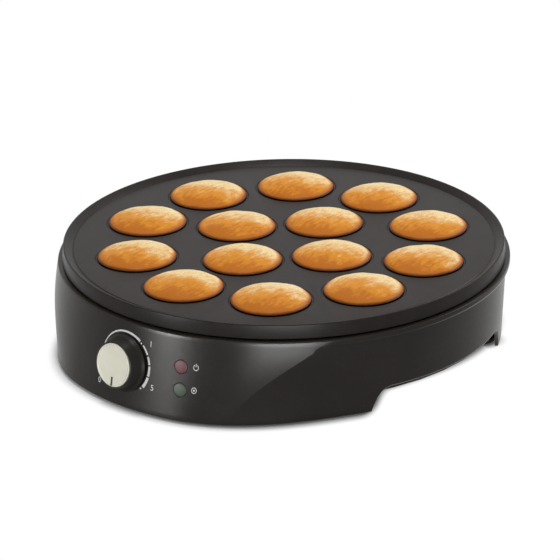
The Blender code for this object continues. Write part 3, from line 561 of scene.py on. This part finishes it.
def shape_housing(bm):
    """Turns the round shell into the drum: panel pushed out, skirt cut back at the sides."""
    half = sum(COLUMNS)
    arch_low = SKIRT_Z + 2 * FOOT_EDGE
    fold_line = []
    highlight_map = {}
    for vertex in bm.verts:
        radius = math.hypot(vertex.co.x, vertex.co.y)
        height = vertex.co.z
        column = round(math.atan2(vertex.co.y, vertex.co.x) * half / math.pi)
        degrees = column_angle(column, height)
        # Painted highlight lines: at the flange's lower edge they grow towards the rear, low down
        # they run along the foot and brighten in the arches.
        highlit = ease((abs(degrees) - HIGHLIGHT_START_DEG) / (HIGHLIGHT_FULL_DEG - HIGHLIGHT_START_DEG))
        if height < DECK_Z / 2:
            highlit = HIGHLIGHT_FOOT + HIGHLIGHT_ARCH * arch_share(degrees)
        highlight_map[vertex] = (highlit, height / DECK_Z)
        if radius < BORE_R + WALL / 2:
            vertex.co = on_ring(radius, degrees, height)
            continue
        inset = skin_radius(radius, height) - radius
        press = min(max((ARCH_TOP_Z - height) / (ARCH_TOP_Z - arch_low), 0.0), 1.0)
        height += ARCH_H * arch_share(degrees) * press
        skin = skin_radius(radius, height)
        push = (panel_radius(height) - skin) * panel_share(degrees, height)
        vertex.co = on_ring(skin - inset + push, degrees, height)
        if abs(column) == COLUMNS[0] and CRISP_FOLD_Z < height < WALL_Z and inset < WALL / 2:
            fold_line.append(vertex)
    marked = set(fold_line)
    for edge in bm.edges:
        if all(vertex in marked for vertex in edge.verts):
            edge.smooth = False
    rub = bm.loops.layers.uv.new("rub")
    for face in bm.faces:
        for loop in face.loops:
            loop[rub].uv = highlight_map[loop.vert]


def painted_highlight_moulding(start):
    """The black moulding, with thin pale highlights painted along its edges."""
    sockets = moulded(PLASTIC_ROUGH, BLACK, WORN_BLACK)(start)
    flat = start.node("TexCoord", None, None, "UV")
    height = flat.axis("Y") * DECK_Z
    # Two thin painted highlight lines, along the foot and along the flange's lower edge.
    lines = [(height - edge).size().spread(HIGHLIGHT_W / 3, HIGHLIGHT_W, 1.0, 0.0)
             for edge in (SKIRT_Z + HIGHLIGHT_W / 2, BAND_Z + HIGHLIGHT_W / 2)]
    highlit = (lines[0] + lines[1]) * flat.axis("X")
    sockets["Base Color"] = highlit.mix(sockets["Base Color"], EDGE_HIGHLIGHT)
    return sockets


def panel_frame(node):
    """The frame on the panel's face in front of the middle of a solid."""
    low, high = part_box(node)
    middle = (low + high) / 2 - AXIS
    slant = math.hypot(1, PANEL_SLOPE)
    reach = math.hypot(middle.x, middle.y)
    depth = (reach - FLANGE_R - PANEL_SLOPE * (DECK_Z - middle.z)) / slant
    height = middle.z - depth * PANEL_SLOPE / slant
    degrees = math.degrees(math.atan2(middle.x, -middle.y))
    return facing(on_ring(panel_radius(height), degrees, height), out_at(degrees, PANEL_SLOPE))


def hole_cutter(radius, place, steps=HOLE_STEPS):
    reach = 3 * WALL
    profile = [(0, WALL), (radius, WALL), (radius, -reach), (0, -reach)]
    return object_from(turned(profile, steps), "hole", place)


KNOB_FRAME = facing(KNOB_SPOT, KNOB_OUT)
INLET_SLOPE = (WALL_LOW_R - WALL_TOP_R) / SKIRT_H
INLET_FRAME = facing(on_ring(wall_radius(INLET_Z), 180.0, INLET_Z), out_at(180.0, INLET_SLOPE))

shell = turned(housing_section(), 2 * sum(COLUMNS), closed=True)
shape_housing(shell)
housing = object_from(shell, "housing_shell")
holes = [hole_cutter(LENS_HOLE_R, panel_frame("power_lens")),
         hole_cutter(LENS_HOLE_R, panel_frame("ready_lens")),
         hole_cutter(SHAFT_HOLE_R, KNOB_FRAME), hole_cutter(INLET_HOLE_R, INLET_FRAME)]
cut(housing, holes)
smooth(housing)
housing_moulding = surface("housing_moulding", {"Specular IOR Level": PLASTIC_SHINE},
                           painted_highlight_moulding)
finish(housing, housing_moulding, "base", "black_plastic", "base_housing")


# Seat ring and cord inlet
# The seat ring is a black moulding in the drum's bore that carries the plate and the reflector.
# The cord inlet is a soft black bush in the rear wall. Both keep the frame's solids.
dress(moulding, "seat_ring")
dress(rubber, "cord_inlet")


# Indicator lamps
# Two small domed lenses sit in the panel beside the knob, a dark red one for power and a dark
# green one that lights when the plate is hot. Clear coloured plastic over white lamp bodies.
LENS_R, LENS_DOME, LENS_DEPTH = 0.0046, 0.0005, 0.0040
LENS_STEPS, LENS_ARC_DEG = 48, 12
LENS_RED, LENS_GREEN = (0.175, 0.036, 0.050), (0.052, 0.086, 0.048)
LENS_DEEP = 0.80                # the darker share of a lens's colour
LENS_SHINE, LENS_ROUGH, LENS_CLEAR = 0.2, 0.42, 0.1
RIPPLE_CELLS, RIPPLE_DEPTH = 700.0, 0.000006
CERAMIC_ROUGH, CERAMIC_CELLS = 0.55, 220.0
CERAMIC, OLD_CERAMIC = (0.80, 0.77, 0.70), (0.66, 0.61, 0.52)


def coloured_lens(colour):
    """Clear coloured plastic with a faint moulded ripple inside."""
    deep = tuple(part * LENS_DEEP for part in colour)

    def vary(start):
        place = place_in(start)
        ripple = place.noise(RIPPLE_CELLS, 2.0)
        return {"Base Color": ripple.spread(*CLOUDY).mix(deep, colour),
                "Roughness": LENS_ROUGH + ripple * 0.06,
                "Normal": ripple.bump(RIPPLE_DEPTH)}
    return vary


def plain(roughness, low, high, cells):
    """A dull surface with soft spots of a second colour."""
    def vary(start):
        place = place_in(start)
        spots = place.noise(cells, 3.0)
        grain = place.noise(GRAIN_CELLS, 2.0)
        return {"Base Color": spots.spread(0.35, 0.65).mix(low, high),
                "Roughness": roughness + grain * 0.1 - 0.05,
                "Normal": grain.bump(GRAIN_DEPTH)}
    return vary


ceramic = surface("white_ceramic", {},
                  plain(CERAMIC_ROUGH, CERAMIC, OLD_CERAMIC, CERAMIC_CELLS))
arc = [math.radians(LENS_ARC_DEG * step) for step in range(1, 8)]
dome = [(0, LENS_DOME, 0)]
dome += [(LENS_R * math.sin(turn), LENS_DOME * math.cos(turn), 0) for turn in arc]
dome += [(LENS_R, -LENS_DEPTH, 0), (0, -LENS_DEPTH, 0)]
for node, colour, slot in (("power_lens", LENS_RED, "lens_red"),
                           ("ready_lens", LENS_GREEN, "lens_green")):
    lens = object_from(turned(rounded(dome), LENS_STEPS), f"{node}_dome", panel_frame(node))
    smooth(lens)
    plastic = surface(f"{node}_plastic", {"Specular IOR Level": LENS_SHINE,
                                          "Transmission Weight": LENS_CLEAR}, coloured_lens(colour))
    finish(lens, plastic, "base", slot, node)
dress(ceramic, "power_lamp", "ready_lamp")


# Dial print
# White print on the panel: a band that swells clockwise round the knob, with breaks in it, two
# dots, plain numbers, and a small mark beside each lamp. Printed thick enough to feel.
PRINT_T = 0.00008
PRINT_WHITE, PRINT_GREY = (0.90, 0.90, 0.88), (0.80, 0.80, 0.78)
DIAL_R = 0.0212
BANDS = (                       # clock angle and the band's width, at its start and its end
    ((-96.0, 0.0005), (34.0, 0.0016)), ((43.5, 0.0010), (62.0, 0.0013)),
    ((66.0, 0.0013), (80.5, 0.0015)), ((83.5, 0.0015), (102.0, 0.0018)),
    ((104.5, 0.0018), (126.0, 0.0022)))
DOTS = ((38.5, 0.0209, 0.0006), (131.5, 0.0207, 0.0006))
NUMBERS = (("0", -129.5, 0.0286), ("1", 50.0, 0.0272), ("5", 115.0, 0.0272))
NUMBER_H, LETTER_FILL = 0.0040, 1.4     # a number's height, and its type size over that
MARK_U, MARK_R, MARK_LINE = 0.0575, 0.0019, 0.0005
MARK_DOT_R, MARK_TICK = 0.0007, (0.0004, 0.0026)
MARK_STEPS = 20
PAINT_SHINE, PAINT_ROUGH, PRINT_CELLS = 0.3, 0.5, 900.0


def dial_point(clock_deg, radius):
    """A point of the dial, its angle clockwise from up, seen from in front."""
    angle = math.radians(clock_deg)
    return Vector((radius * math.sin(angle), radius * math.cos(angle)))


def strip(bm, inner, outer):
    """A flat strip between two rows of points."""
    rows = [[bm.verts.new((*point, 0)) for point in row] for row in (inner, outer)]
    for index in range(len(inner) - 1):
        bm.faces.new((rows[0][index], rows[0][index + 1], rows[1][index + 1], rows[1][index]))


def dial_band(bm, first, last):
    steps = max(round((last[0] - first[0]) / 3), 2)
    inner, outer = [], []
    for step in range(steps + 1):
        angle, width = (low + (high - low) * step / steps for low, high in zip(first, last))
        inner.append(dial_point(angle, DIAL_R - width / 2))
        outer.append(dial_point(angle, DIAL_R + width / 2))
    strip(bm, inner, outer)


def dot(bm, centre, radius):
    place = Matrix.Translation((*centre, 0))
    bmesh.ops.create_circle(bm, cap_ends=True, segments=MARK_STEPS, radius=radius, matrix=place)


def ring_mark(bm, centre, start, end):
    angles = [start + (end - start) * step / MARK_STEPS for step in range(MARK_STEPS + 1)]
    inner = [centre + dial_point(angle, MARK_R - MARK_LINE / 2) for angle in angles]
    outer = [centre + dial_point(angle, MARK_R + MARK_LINE / 2) for angle in angles]
    strip(bm, inner, outer)


def number_mesh(text, height):
    curve = bpy.data.curves.new("number", 'FONT')
    curve.body = text
    curve.size = height * LETTER_FILL
    curve.align_x, curve.align_y = 'CENTER', 'CENTER'
    letter = bpy.data.objects.new("number", curve)
    bpy.context.scene.collection.objects.link(letter)
    bpy.context.view_layer.update()
    graph = bpy.context.evaluated_depsgraph_get()
    mesh = bpy.data.meshes.new_from_object(letter.evaluated_get(graph))
    bpy.data.objects.remove(letter)
    return mesh


def lay_on_panel(bm):
    """Lays flat print, drawn in the knob's frame, on the panel's cone."""
    for vertex in bm.verts:
        raised = vertex.co.z
        spot = KNOB_FRAME @ Vector((vertex.co.x, vertex.co.y, 0)) - AXIS
        degrees = math.degrees(math.atan2(spot.x, -spot.y))
        vertex.co = on_ring(panel_radius(spot.z) + raised, degrees, spot.z)


ink = bmesh.new()
for first, last in BANDS:
    dial_band(ink, first, last)
for clock, radius, size in DOTS:
    dot(ink, dial_point(clock, radius), size)
for text, clock, radius in NUMBERS:
    mesh = number_mesh(text, NUMBER_H)
    mesh.transform(Matrix.Translation((*dial_point(clock, radius), 0)))
    ink.from_mesh(mesh)
for node in ("power_lens", "ready_lens"):
    beside = KNOB_FRAME.inverted() @ panel_frame(node).translation
    centre = Vector((MARK_U, beside.y))
    if node == "power_lens":
        ring_mark(ink, centre, 30.0, 330.0)
        sides = (-MARK_LINE / 2, MARK_LINE / 2)
        strip(ink, *([centre + Vector((side, end)) for end in MARK_TICK] for side in sides))
    else:
        ring_mark(ink, centre, 0.0, 360.0)
        dot(ink, centre, MARK_DOT_R)
bmesh.ops.remove_doubles(ink, verts=ink.verts, dist=WELD)
for face in ink.faces:
    if face.normal.z < 0:
        face.normal_flip()
walls = bmesh.ops.extrude_face_region(ink, geom=ink.faces[:])
raised = [item for item in walls["geom"] if isinstance(item, bmesh.types.BMVert)]
bmesh.ops.translate(ink, vec=(0, 0, PRINT_T), verts=raised)
bmesh.ops.recalc_face_normals(ink, faces=ink.faces)
lay_on_panel(ink)
dial_print = object_from(ink, "dial_print")
white_print = surface("white_print", {"Specular IOR Level": PAINT_SHINE},
                      plain(PAINT_ROUGH, PRINT_WHITE, PRINT_GREY, PRINT_CELLS))
finish(dial_print, white_print, "base", "black_plastic")


# Thermostat, terminal block and leads
# A brown moulded switch on a sheet bracket behind the knob, a white ceramic block by the inlet,
# a steel thermal fuse and sleeved leads between them. All are inside and keep their solids.
BROWN, DARK_BROWN = (0.105, 0.052, 0.030), (0.070, 0.034, 0.020)
SLEEVE_RED, SLEEVE_PALE = (0.42, 0.045, 0.03), (0.60, 0.20, 0.14)
COPPER, DULL_COPPER = (0.60, 0.30, 0.18), (0.42, 0.20, 0.12)
COPPER_ROUGH, BROWN_ROUGH, BROWN_CELLS = 0.35, 0.45, 90.0
BRAID_CELLS, BRAID_DEPTH, SLEEVE_SHEEN = 900.0, 0.0001, 0.2
LEADS = ("wire_block_to_fuse", "wire_fuse_to_element", "wire_block_to_thermostat",
         "wire_thermostat_to_element")


def braided(start):
    """Woven glass sleeving: fine crossing threads."""
    place = place_in(start)
    threads = [start.node("TexWave", {"wave_type": 'BANDS', "bands_direction": 'DIAGONAL'},
                          {"Vector": start.node("Mapping", None, {0: place, "Scale": flip}),
                           "Scale": BRAID_CELLS}, "Fac")
               for flip in ((1, 1, 1), (-1, 1, 1))]
    weave = threads[0].math('MAXIMUM', threads[0], threads[1])
    return {"Base Color": weave.spread(0.3, 0.9).mix(SLEEVE_RED, SLEEVE_PALE),
            "Roughness": 0.8 - weave * 0.1,
            "Normal": weave.bump(BRAID_DEPTH)}


brown = surface("brown_moulding", {}, plain(BROWN_ROUGH, DARK_BROWN, BROWN, BROWN_CELLS))
sleeve = surface("wire_sleeve", {"Sheen Weight": SLEEVE_SHEEN}, braided)
copper = surface("copper_tube", {"Metallic": 1.0}, rolled(COPPER_ROUGH, DULL_COPPER, COPPER))
dress(brown, "thermostat_body")
dress(ceramic, "terminal_block")
dress(steel, "thermostat_bracket", "thermostat_shaft", "thermal_fuse")
dress(sleeve, *LEADS)
dress(copper, "sensor_capillary")


# Heat reflector, element and sensor
# Under the plate a bright pressed pan hangs in the seat ring. A sheathed ring element stands
# over it in four clips, its tails in ceramic bushes, and the sensor cup touches the plate.
PAN_LOW, PAN_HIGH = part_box("heat_reflector")
PAN_T, PAN_LIP_W, PAN_TAPER = 0.0008, 0.0070, 0.0026
PAN_BEND, LIP_BEND = 0.0020, 0.0006
PAN_STEPS, BORE_STEPS = 160, 32
BEADS, BEAD_H = (0.38, 0.46), 0.0006    # two pressed beads, as shares of the pan's floor
BUSH_COLLAR, SENSOR_BORE_R = 0.0009, 0.0031
SHEATH, SHEATH_BLUED = (0.050, 0.046, 0.044), (0.085, 0.075, 0.072)
SHEATH_METAL, SHEATH_ROUGH, SHEATH_CELLS = 0.6, 0.5, 60.0
CLIPS = [f"element_clamp_{number}" for number in range(1, 5)]

pan_lip_r = (PAN_HIGH.x - PAN_LOW.x) / 2
pan_top_r = pan_lip_r - PAN_LIP_W
pan_foot_r = pan_top_r - PAN_TAPER
pan_floor = [(0, PAN_LOW.z + PAN_T, 0)]
for share in BEADS:
    middle = pan_foot_r * share
    pan_floor += [(middle - 3 * BEAD_H, PAN_LOW.z + PAN_T, BEAD_H),
                  (middle, PAN_LOW.z + PAN_T + BEAD_H, BEAD_H),
                  (middle + 3 * BEAD_H, PAN_LOW.z + PAN_T, BEAD_H)]
pan_wall = [(pan_foot_r - PAN_T, PAN_LOW.z + PAN_T, PAN_BEND),
            (pan_top_r - PAN_T, PAN_HIGH.z, LIP_BEND),
            (pan_lip_r, PAN_HIGH.z, 0), (pan_lip_r, PAN_HIGH.z - PAN_T, 0),
            (pan_top_r, PAN_HIGH.z - PAN_T, LIP_BEND), (pan_foot_r, PAN_LOW.z, PAN_BEND),
            (0, PAN_LOW.z, 0)]
pan = object_from(turned(rounded(pan_floor + pan_wall), PAN_STEPS), "reflector_pan",
                  Matrix.Translation(AXIS))
bores = []
for node in ("element_bush_left", "element_bush_right", "plate_sensor"):
    low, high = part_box(node)
    bore_r = min(high.x - low.x, high.y - low.y) / 2 - BUSH_COLLAR
    if node == "plate_sensor":
        bore_r = SENSOR_BORE_R
    middle = (low + high) / 2
    place = Matrix.Translation((middle.x, middle.y, PAN_LOW.z + PAN_T))
    bores.append(hole_cutter(bore_r, place, BORE_STEPS))
cut(pan, bores)
smooth(pan)
finish(pan, steel, "base", "steel", "heat_reflector")
sheath = surface("element_sheath", {"Metallic": SHEATH_METAL},
                 plain(SHEATH_ROUGH, SHEATH, SHEATH_BLUED, SHEATH_CELLS))
dress(sheath, "heating_element")
dress(steel, "plate_sensor", *CLIPS)
dress(ceramic, "element_bush_left", "element_bush_right")


# Cooking plate
# Cast aluminium in a grey-brown non-stick finish: a flat field with fourteen round wells, a rim
# that slopes up to a rounded crest, a skirt that covers the seat ring and a rib that centres it.
RIM_W, RIM_H, RIM_LEAN, RIM_DRAFT = 0.0063, 0.0031, 0.0015, 0.0009
CREST_Z = PLATE_HIGH.z
CREST_ROUND, CREST_DROP = 0.0011, 0.0007
PLATE_T, RIM_WALL = 0.0037, 0.0026
GROOVE_W, GROOVE_H = 0.0008, 0.0006     # the fine groove at the foot of the rim
PLATE_GAP = 0.0011              # skirt over the flange
RIB_R, RIB_T, RIB_H, RIB_ROUND = PLATE_R - 0.0081, 0.0020, 0.0029, 0.0003
WELL_R, WELL_DEPTH, WELL_T = 0.0277, 0.0095, 0.0030
WELL_EDGE = 0.0006              # the small break round each well
PLATE_STEPS, WELL_STEPS = 256, 72
COATING, COATING_PALE = (0.0215, 0.0175, 0.0155), (0.0262, 0.0218, 0.0196)
FLECK = (0.050, 0.044, 0.041)
FLECK_BAND = (0.66, 0.76)
COATING_SHINE, COATING_ROUGH = 0.075, 0.29
MOTTLE_CELLS, FLECK_CELLS, PEEL_CELLS = 60.0, 1500.0, 900.0
PEEL_DEPTH = 0.00004
FIELD_Z = CREST_Z - RIM_H
CAKES = [f"pancake_{number:02d}" for number in range(1, 15)]

cake_spots = {}
for node in CAKES:
    low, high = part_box(node)
    cake_spots[node] = Vector(((low.x + high.x) / 2, (low.y + high.y) / 2, 0))


def bowl(offset, rim_z, turns=12):
    """The well's round bottom from its rim to its centre, moved outwards by an offset."""
    sphere = (WELL_R ** 2 + WELL_DEPTH ** 2) / (2 * WELL_DEPTH)
    centre_z = FIELD_Z - WELL_DEPTH + sphere
    reach = sphere + offset
    start = math.acos((centre_z - rim_z) / reach)
    angles = [start * (1 - step / turns) for step in range(turns + 1)]
    return [(reach * math.sin(angle), centre_z - reach * math.cos(angle), 0) for angle in angles]


def coating(start):
    """Sprayed non-stick: faintly mottled, with pale flecks and a fine orange-peel relief."""
    place = place_in(start)
    mottle = place.noise(MOTTLE_CELLS, 4.0)
    flecks = place.noise(FLECK_CELLS, 1.0)
    peel = place.noise(PEEL_CELLS, 3.0)
    base = mottle.spread(*CLOUDY).mix(COATING, COATING_PALE)
    return {"Base Color": flecks.spread(*FLECK_BAND).mix(base, FLECK),
            "Roughness": COATING_ROUGH + mottle * 0.06,
            "Normal": peel.bump(PEEL_DEPTH)}


rim_low = DECK_Z + PLATE_GAP
groove_r = PLATE_R - RIM_W - GROOVE_W
under = FIELD_Z - PLATE_T
plate_section = rounded([
    (0, FIELD_Z, 0), (groove_r - GROOVE_W, FIELD_Z, 0.0002), (groove_r, FIELD_Z - GROOVE_H, 0.0003),
    (groove_r + GROOVE_W, FIELD_Z, 0.0003), (PLATE_R - RIM_LEAN, CREST_Z, CREST_ROUND),
    (PLATE_R - RIM_DRAFT, CREST_Z - CREST_DROP, 0.0004), (PLATE_R, rim_low, 0.0005),
    (PLATE_R - RIM_WALL, rim_low, 0.0006), (PLATE_R - RIM_WALL, under, 0.0010),
    (RIB_R + RIB_T, under, 0), (RIB_R + RIB_T, under - RIB_H, RIB_ROUND),
    (RIB_R, under - RIB_H, RIB_ROUND), (RIB_R, under, 0), (0, under, 0)])
plate = object_from(turned(plate_section, PLATE_STEPS), "grill_plate", Matrix.Translation(AXIS))
dome_top = FIELD_Z - PLATE_T / 2
domes, wells = [], []
for spot in cake_spots.values():
    bulge = [(0, dome_top, 0), *bowl(WELL_T, dome_top)]
    hollow = [(0, FIELD_Z + WELL_T, 0), (WELL_R + WELL_EDGE + WELL_T, FIELD_Z + WELL_T, 0),
              (WELL_R, FIELD_Z - WELL_EDGE, 0), *bowl(0, FIELD_Z - WELL_EDGE)]
    place = Matrix.Translation(spot)
    domes.append(object_from(turned(rounded(bulge), WELL_STEPS), "dome", place))
    wells.append(object_from(turned(rounded(hollow), WELL_STEPS), "well", place))
cut(plate, domes, 'UNION')
cut(plate, wells)
smooth(plate)
nonstick = surface("nonstick_coating", {"Specular IOR Level": COATING_SHINE}, coating)
finish(plate, nonstick, "plate", "nonstick", "cooking_plate")


# Pancakes
# Fourteen small batter cakes, one in each well: puffed crowns with uneven skins, gold mottled with
# cream, painted paler and with a painted highlight at the rim towards the light, amber at the
# shoulder and dark round the side that met the metal.
CAKE_GAP = 0.0010
CAKE_TOP_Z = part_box(CAKES[0])[1].z
CAKE_STEPS, CAKE_RINGS = 64, 16
CROWN_POWER, SHOULDER_POWER = 2.2, 0.62
PUFF, PORE = 0.00045, 0.00014   # relief of the crown: soft swells and small pits
PUFF_CELLS, PIT_CELLS = 95.0, 420.0
EDGE_CALM = 6                   # the relief fades out over the last sixth of the radius
CLOUD_SPOTS, STREAK_SPOTS, PORE_SPOTS = 75.0, 420.0, 1100.0     # cells to the metre
STREAK_STRETCH, SKIN_DEPTH = 0.4, 0.00030
CLOUD_PULL, STREAK_PULL = 1.2, 1.3      # how far the noise moves a crown's tone
GOLD_BAND, CREAM_BAND, RIM_HIGHLIGHT_BAND, PORE_BAND = (-0.9, -0.3), (-0.35, 0.6), (0.50, 0.80), (0.60, 0.70)
DARK_BAND, CRUST_BAND, AMBER_BAND = (0.0003, 0.0011), (0.0009, 0.0019), (0.0017, 0.0031)
BAND_WAVER = 0.0012             # the heights of those three waver by this much
CAKE_CRISP_DEG = 50.0
NEXT_CAKE = Vector((7.3, 1.9, 4.1))     # the relief of each cake is another part of the noise
BATTER_SHINE, BATTER_ROUGH = 0.12, 0.42
BATTER_DEEP, BATTER_GLOW_R = 0.08, 0.002    # how much light goes in, and how deep
CRUST, CRUST_DARK = (0.22, 0.060, 0.009), (0.070, 0.020, 0.005)
GOLD, AMBER = (0.73, 0.285, 0.022), (0.55, 0.165, 0.012)
# The second colour is a painted highlight for the crown's rim on its lit side.
CREAM, RIM_HIGHLIGHT = (0.92, 0.71, 0.37), (0.98, 0.86, 0.58)
LIGHT_WAY = (-0.46, 1.06)        # the way towards the light in which each crown is painted paler


def cake_section():
    cake_r = WELL_R - CAKE_GAP
    height = CAKE_TOP_Z - PUFF - FIELD_Z
    crown = []
    for ring in range(CAKE_RINGS + 1):
        share = math.sin(math.pi / 2 * ring / CAKE_RINGS)
        rise = height * max(1 - share ** CROWN_POWER, 0) ** SHOULDER_POWER
        crown.append((cake_r * share, FIELD_Z + rise, 0))
    return crown[:-1] + bowl(-CAKE_GAP, FIELD_Z, 8)


def bake(bm, spot, seed):
    """Makes the crown uneven and gives the cake a flat map of where its surface lies."""
    for vertex in bm.verts:
        if vertex.co.z < FIELD_Z + CAKE_GAP:
            continue
        swell = noise.noise(vertex.co * PUFF_CELLS + seed)
        pits = noise.noise(vertex.co * PIT_CELLS + seed)
        edge = 1 - math.hypot(vertex.co.x, vertex.co.y) / WELL_R
        vertex.co.z += (swell * PUFF + pits * PORE) * min(edge * EDGE_CALM, 1)
        vertex.co.z = min(vertex.co.z, CAKE_TOP_Z)
    flat = bm.loops.layers.uv.new("flat")
    for face in bm.faces:
        for loop in face.loops:
            loop[flat].uv = (loop.vert.co.x / WELL_R, loop.vert.co.y / WELL_R)
    bmesh.ops.translate(bm, vec=spot, verts=bm.verts)


def baked(start):
    """Batter skin: dark crust low on the side, amber shoulder, gold crown painted paler towards the
    light.
    """
    place = place_in(start)
    flat = start.node("TexCoord", None, None, "UV")
    across, along = flat.axis("X"), flat.axis("Y")
    out = (across * across + along * along).root()
    clouds = place.noise(CLOUD_SPOTS, 4.0)
    drawn = start.node("Mapping", None, {0: place, "Scale": (1.0, STREAK_STRETCH, 1.0)})
    streaks = drawn.noise(STREAK_SPOTS, 4.0)
    pores = place.noise(PORE_SPOTS, 3.0)
    rise = place.axis("Z") - FIELD_Z
    # Random mottling, plus painted light: paler along one way, with a painted highlight near the
    # rim there.
    tone_and_light = (across * LIGHT_WAY[0] + along * LIGHT_WAY[1]
            + (clouds - 0.5) * CLOUD_PULL + (streaks - 0.5) * STREAK_PULL)
    crown = tone_and_light.spread(*GOLD_BAND).mix(AMBER, GOLD)
    crown = tone_and_light.spread(*CREAM_BAND).mix(crown, CREAM)
    crown = (tone_and_light * out).spread(*RIM_HIGHLIGHT_BAND).mix(crown, RIM_HIGHLIGHT)
    crown = pores.spread(*PORE_BAND).mix(crown, AMBER)
    uneven = rise + (clouds - 0.5) * BAND_WAVER
    shoulder = uneven.spread(*AMBER_BAND).mix(AMBER, crown)
    side = uneven.spread(*CRUST_BAND).mix(CRUST, shoulder)
    return {"Base Color": rise.spread(*DARK_BAND).mix(CRUST_DARK, side),
            "Roughness": BATTER_ROUGH + clouds * 0.15,
            "Normal": (pores * 0.5 + streaks * 0.8 + clouds).bump(SKIN_DEPTH)}


batter = surface("baked_batter", {"Specular IOR Level": BATTER_SHINE,
                                  "Subsurface Weight": BATTER_DEEP,
                                  "Subsurface Scale": BATTER_GLOW_R}, baked)
for number, (node, spot) in enumerate(cake_spots.items()):
    dough = turned(rounded(cake_section()), CAKE_STEPS)
    bake(dough, spot, NEXT_CAKE * (number + 1))
    cake = object_from(dough, f"baked_cake_{number + 1:02d}")
    smooth(cake, CAKE_CRISP_DEG)
    finish(cake, batter, "pancakes", "pancake", node)


# Knob
# A black moulded knob with a flared foot, a satin cream metal face pressed into its front and a
# black pointer line sunk in the face. It turns on the thermostat's shaft.
KNOB_BASE_R, KNOB_FOOT_R, KNOB_TOP_R = 0.0194, 0.0178, 0.0155
KNOB_H, KNOB_FOOT_H, KNOB_STANDOFF = 0.0106, 0.0030, 0.0008
KNOB_SHELL, KNOB_RECESS = 0.0020, 0.0010
FACE_R, FACE_T, FACE_GAP = 0.0145, 0.0012, 0.0003
FACE_SINK, FACE_RING = 0.0002, (0.0012, 0.0008)     # a fine raised ring just inside the edge
POINTER_L, POINTER_W, POINTER_T = 0.0058, 0.0010, 0.0006
POINTER_INSET, POINTER_ROUND = 0.0006, 0.0001
KNOB_BLACK, KNOB_WORN = (0.0150, 0.0138, 0.0105), (0.0190, 0.0175, 0.0135)
FACE_CREAM, FACE_WARM = (0.72, 0.705, 0.59), (0.68, 0.665, 0.55)
KNOB_SHINE, KNOB_ROUGH = 0.14, 0.36
FACE_METAL, FACE_SHINE, FACE_ROUGH = 0.10, 0.3, 0.46
SPUN_CELLS, SPUN_DEPTH = 5000.0, 0.000015
TINT_CELLS, POINTER_CELLS = 120.0, 400.0
KNOB_STEPS = 96

recess = KNOB_H - KNOB_RECESS
lip_r = FACE_R + FACE_GAP
knob_section = rounded([
    (0, recess, 0), (lip_r, recess, 0), (lip_r, KNOB_H, 0.0002), (KNOB_TOP_R, KNOB_H, 0.0006),
    (KNOB_FOOT_R, KNOB_FOOT_H, 0.0012), (KNOB_BASE_R, KNOB_STANDOFF, 0.0004),
    (KNOB_FOOT_R - KNOB_SHELL, KNOB_STANDOFF, 0.0004),
    (KNOB_TOP_R - KNOB_SHELL, recess - KNOB_SHELL, 0), (0, recess - KNOB_SHELL, 0)])
knob_body = object_from(turned(knob_section, KNOB_STEPS), "knob_moulding", KNOB_FRAME)
smooth(knob_body)
knob_plastic = surface("knob_moulding", {"Specular IOR Level": KNOB_SHINE},
                       moulded(KNOB_ROUGH, KNOB_BLACK, KNOB_WORN))
finish(knob_body, knob_plastic, "knob", "black_plastic", "knob_body")

face_z = recess + FACE_GAP + FACE_T
ring_foot_r, ring_top_r = (FACE_R - inset for inset in FACE_RING)
face_section = rounded([
    (0, face_z - FACE_SINK, 0), (ring_foot_r, face_z - FACE_SINK, 0.0003),
    (ring_top_r, face_z, 0.0002), (FACE_R, face_z, 0.0005),
    (FACE_R, recess + FACE_GAP, 0), (0, recess + FACE_GAP, 0)])
knob_face = object_from(turned(face_section, KNOB_STEPS), "knob_cap", KNOB_FRAME)
pointer_r = FACE_R - POINTER_INSET - POINTER_L / 2
slot_place = KNOB_FRAME @ Matrix.Translation((0, -pointer_r, face_z))


def bar(name, width, length, height, place, round_off=0.0):
    """A bar with its middle at the place, and its edges rounded where a reach is given."""
    bm = bmesh.new()
    bmesh.ops.create_cube(bm, size=1)
    bmesh.ops.scale(bm, vec=(width, length, height), verts=bm.verts)
    if round_off:
        bmesh.ops.bevel(bm, geom=bm.edges[:], offset=round_off, segments=2, profile=0.5,
                        affect='EDGES', material=-1)
    return object_from(bm, name, place)


def spun(start):
    """Satin metal, spun: faint rings round the knob's axis and soft warm clouds."""
    place = place_in(start)
    local = start.node("VectorMath", {"operation": 'SUBTRACT'}, {0: place, 1: KNOB_SPOT})
    along = start.node("VectorMath", {"operation": 'DOT_PRODUCT'}, {0: local, 1: KNOB_OUT}, "Value")
    whole = start.node("VectorMath", {"operation": 'DOT_PRODUCT'}, {0: local, 1: local}, "Value")
    radius = (whole - along * along).root()
    rings = start.node("TexNoise", {"noise_dimensions": '1D'},
                       {"W": radius, "Scale": SPUN_CELLS, "Detail": 2.0})
    clouds = place.noise(TINT_CELLS, 3.0)
    return {"Base Color": clouds.spread(*CLOUDY).mix(FACE_WARM, FACE_CREAM),
            "Roughness": FACE_ROUGH + rings * 0.10,
            "Normal": rings.bump(SPUN_DEPTH)}


cut(knob_face, [bar("slot", POINTER_W + 2 * FACE_GAP, POINTER_L + 2 * FACE_GAP,
                    2 * POINTER_T, slot_place)])
smooth(knob_face)
cream = surface("satin_cream", {"Metallic": FACE_METAL, "Specular IOR Level": FACE_SHINE}, spun)
finish(knob_face, cream, "knob", "cream_metal", "knob_face")

pointer_place = KNOB_FRAME @ Matrix.Translation((0, -pointer_r, face_z - POINTER_T / 2))
pointer = bar("pointer_line", POINTER_W, POINTER_L, POINTER_T, pointer_place, POINTER_ROUND)
pointer_paint = surface("pointer_paint", {"Specular IOR Level": PAINT_SHINE},
                        plain(PAINT_ROUGH, BLACK, WORN_BLACK, POINTER_CELLS))
finish(pointer, pointer_paint, "knob", "pointer_black", "knob_pointer")
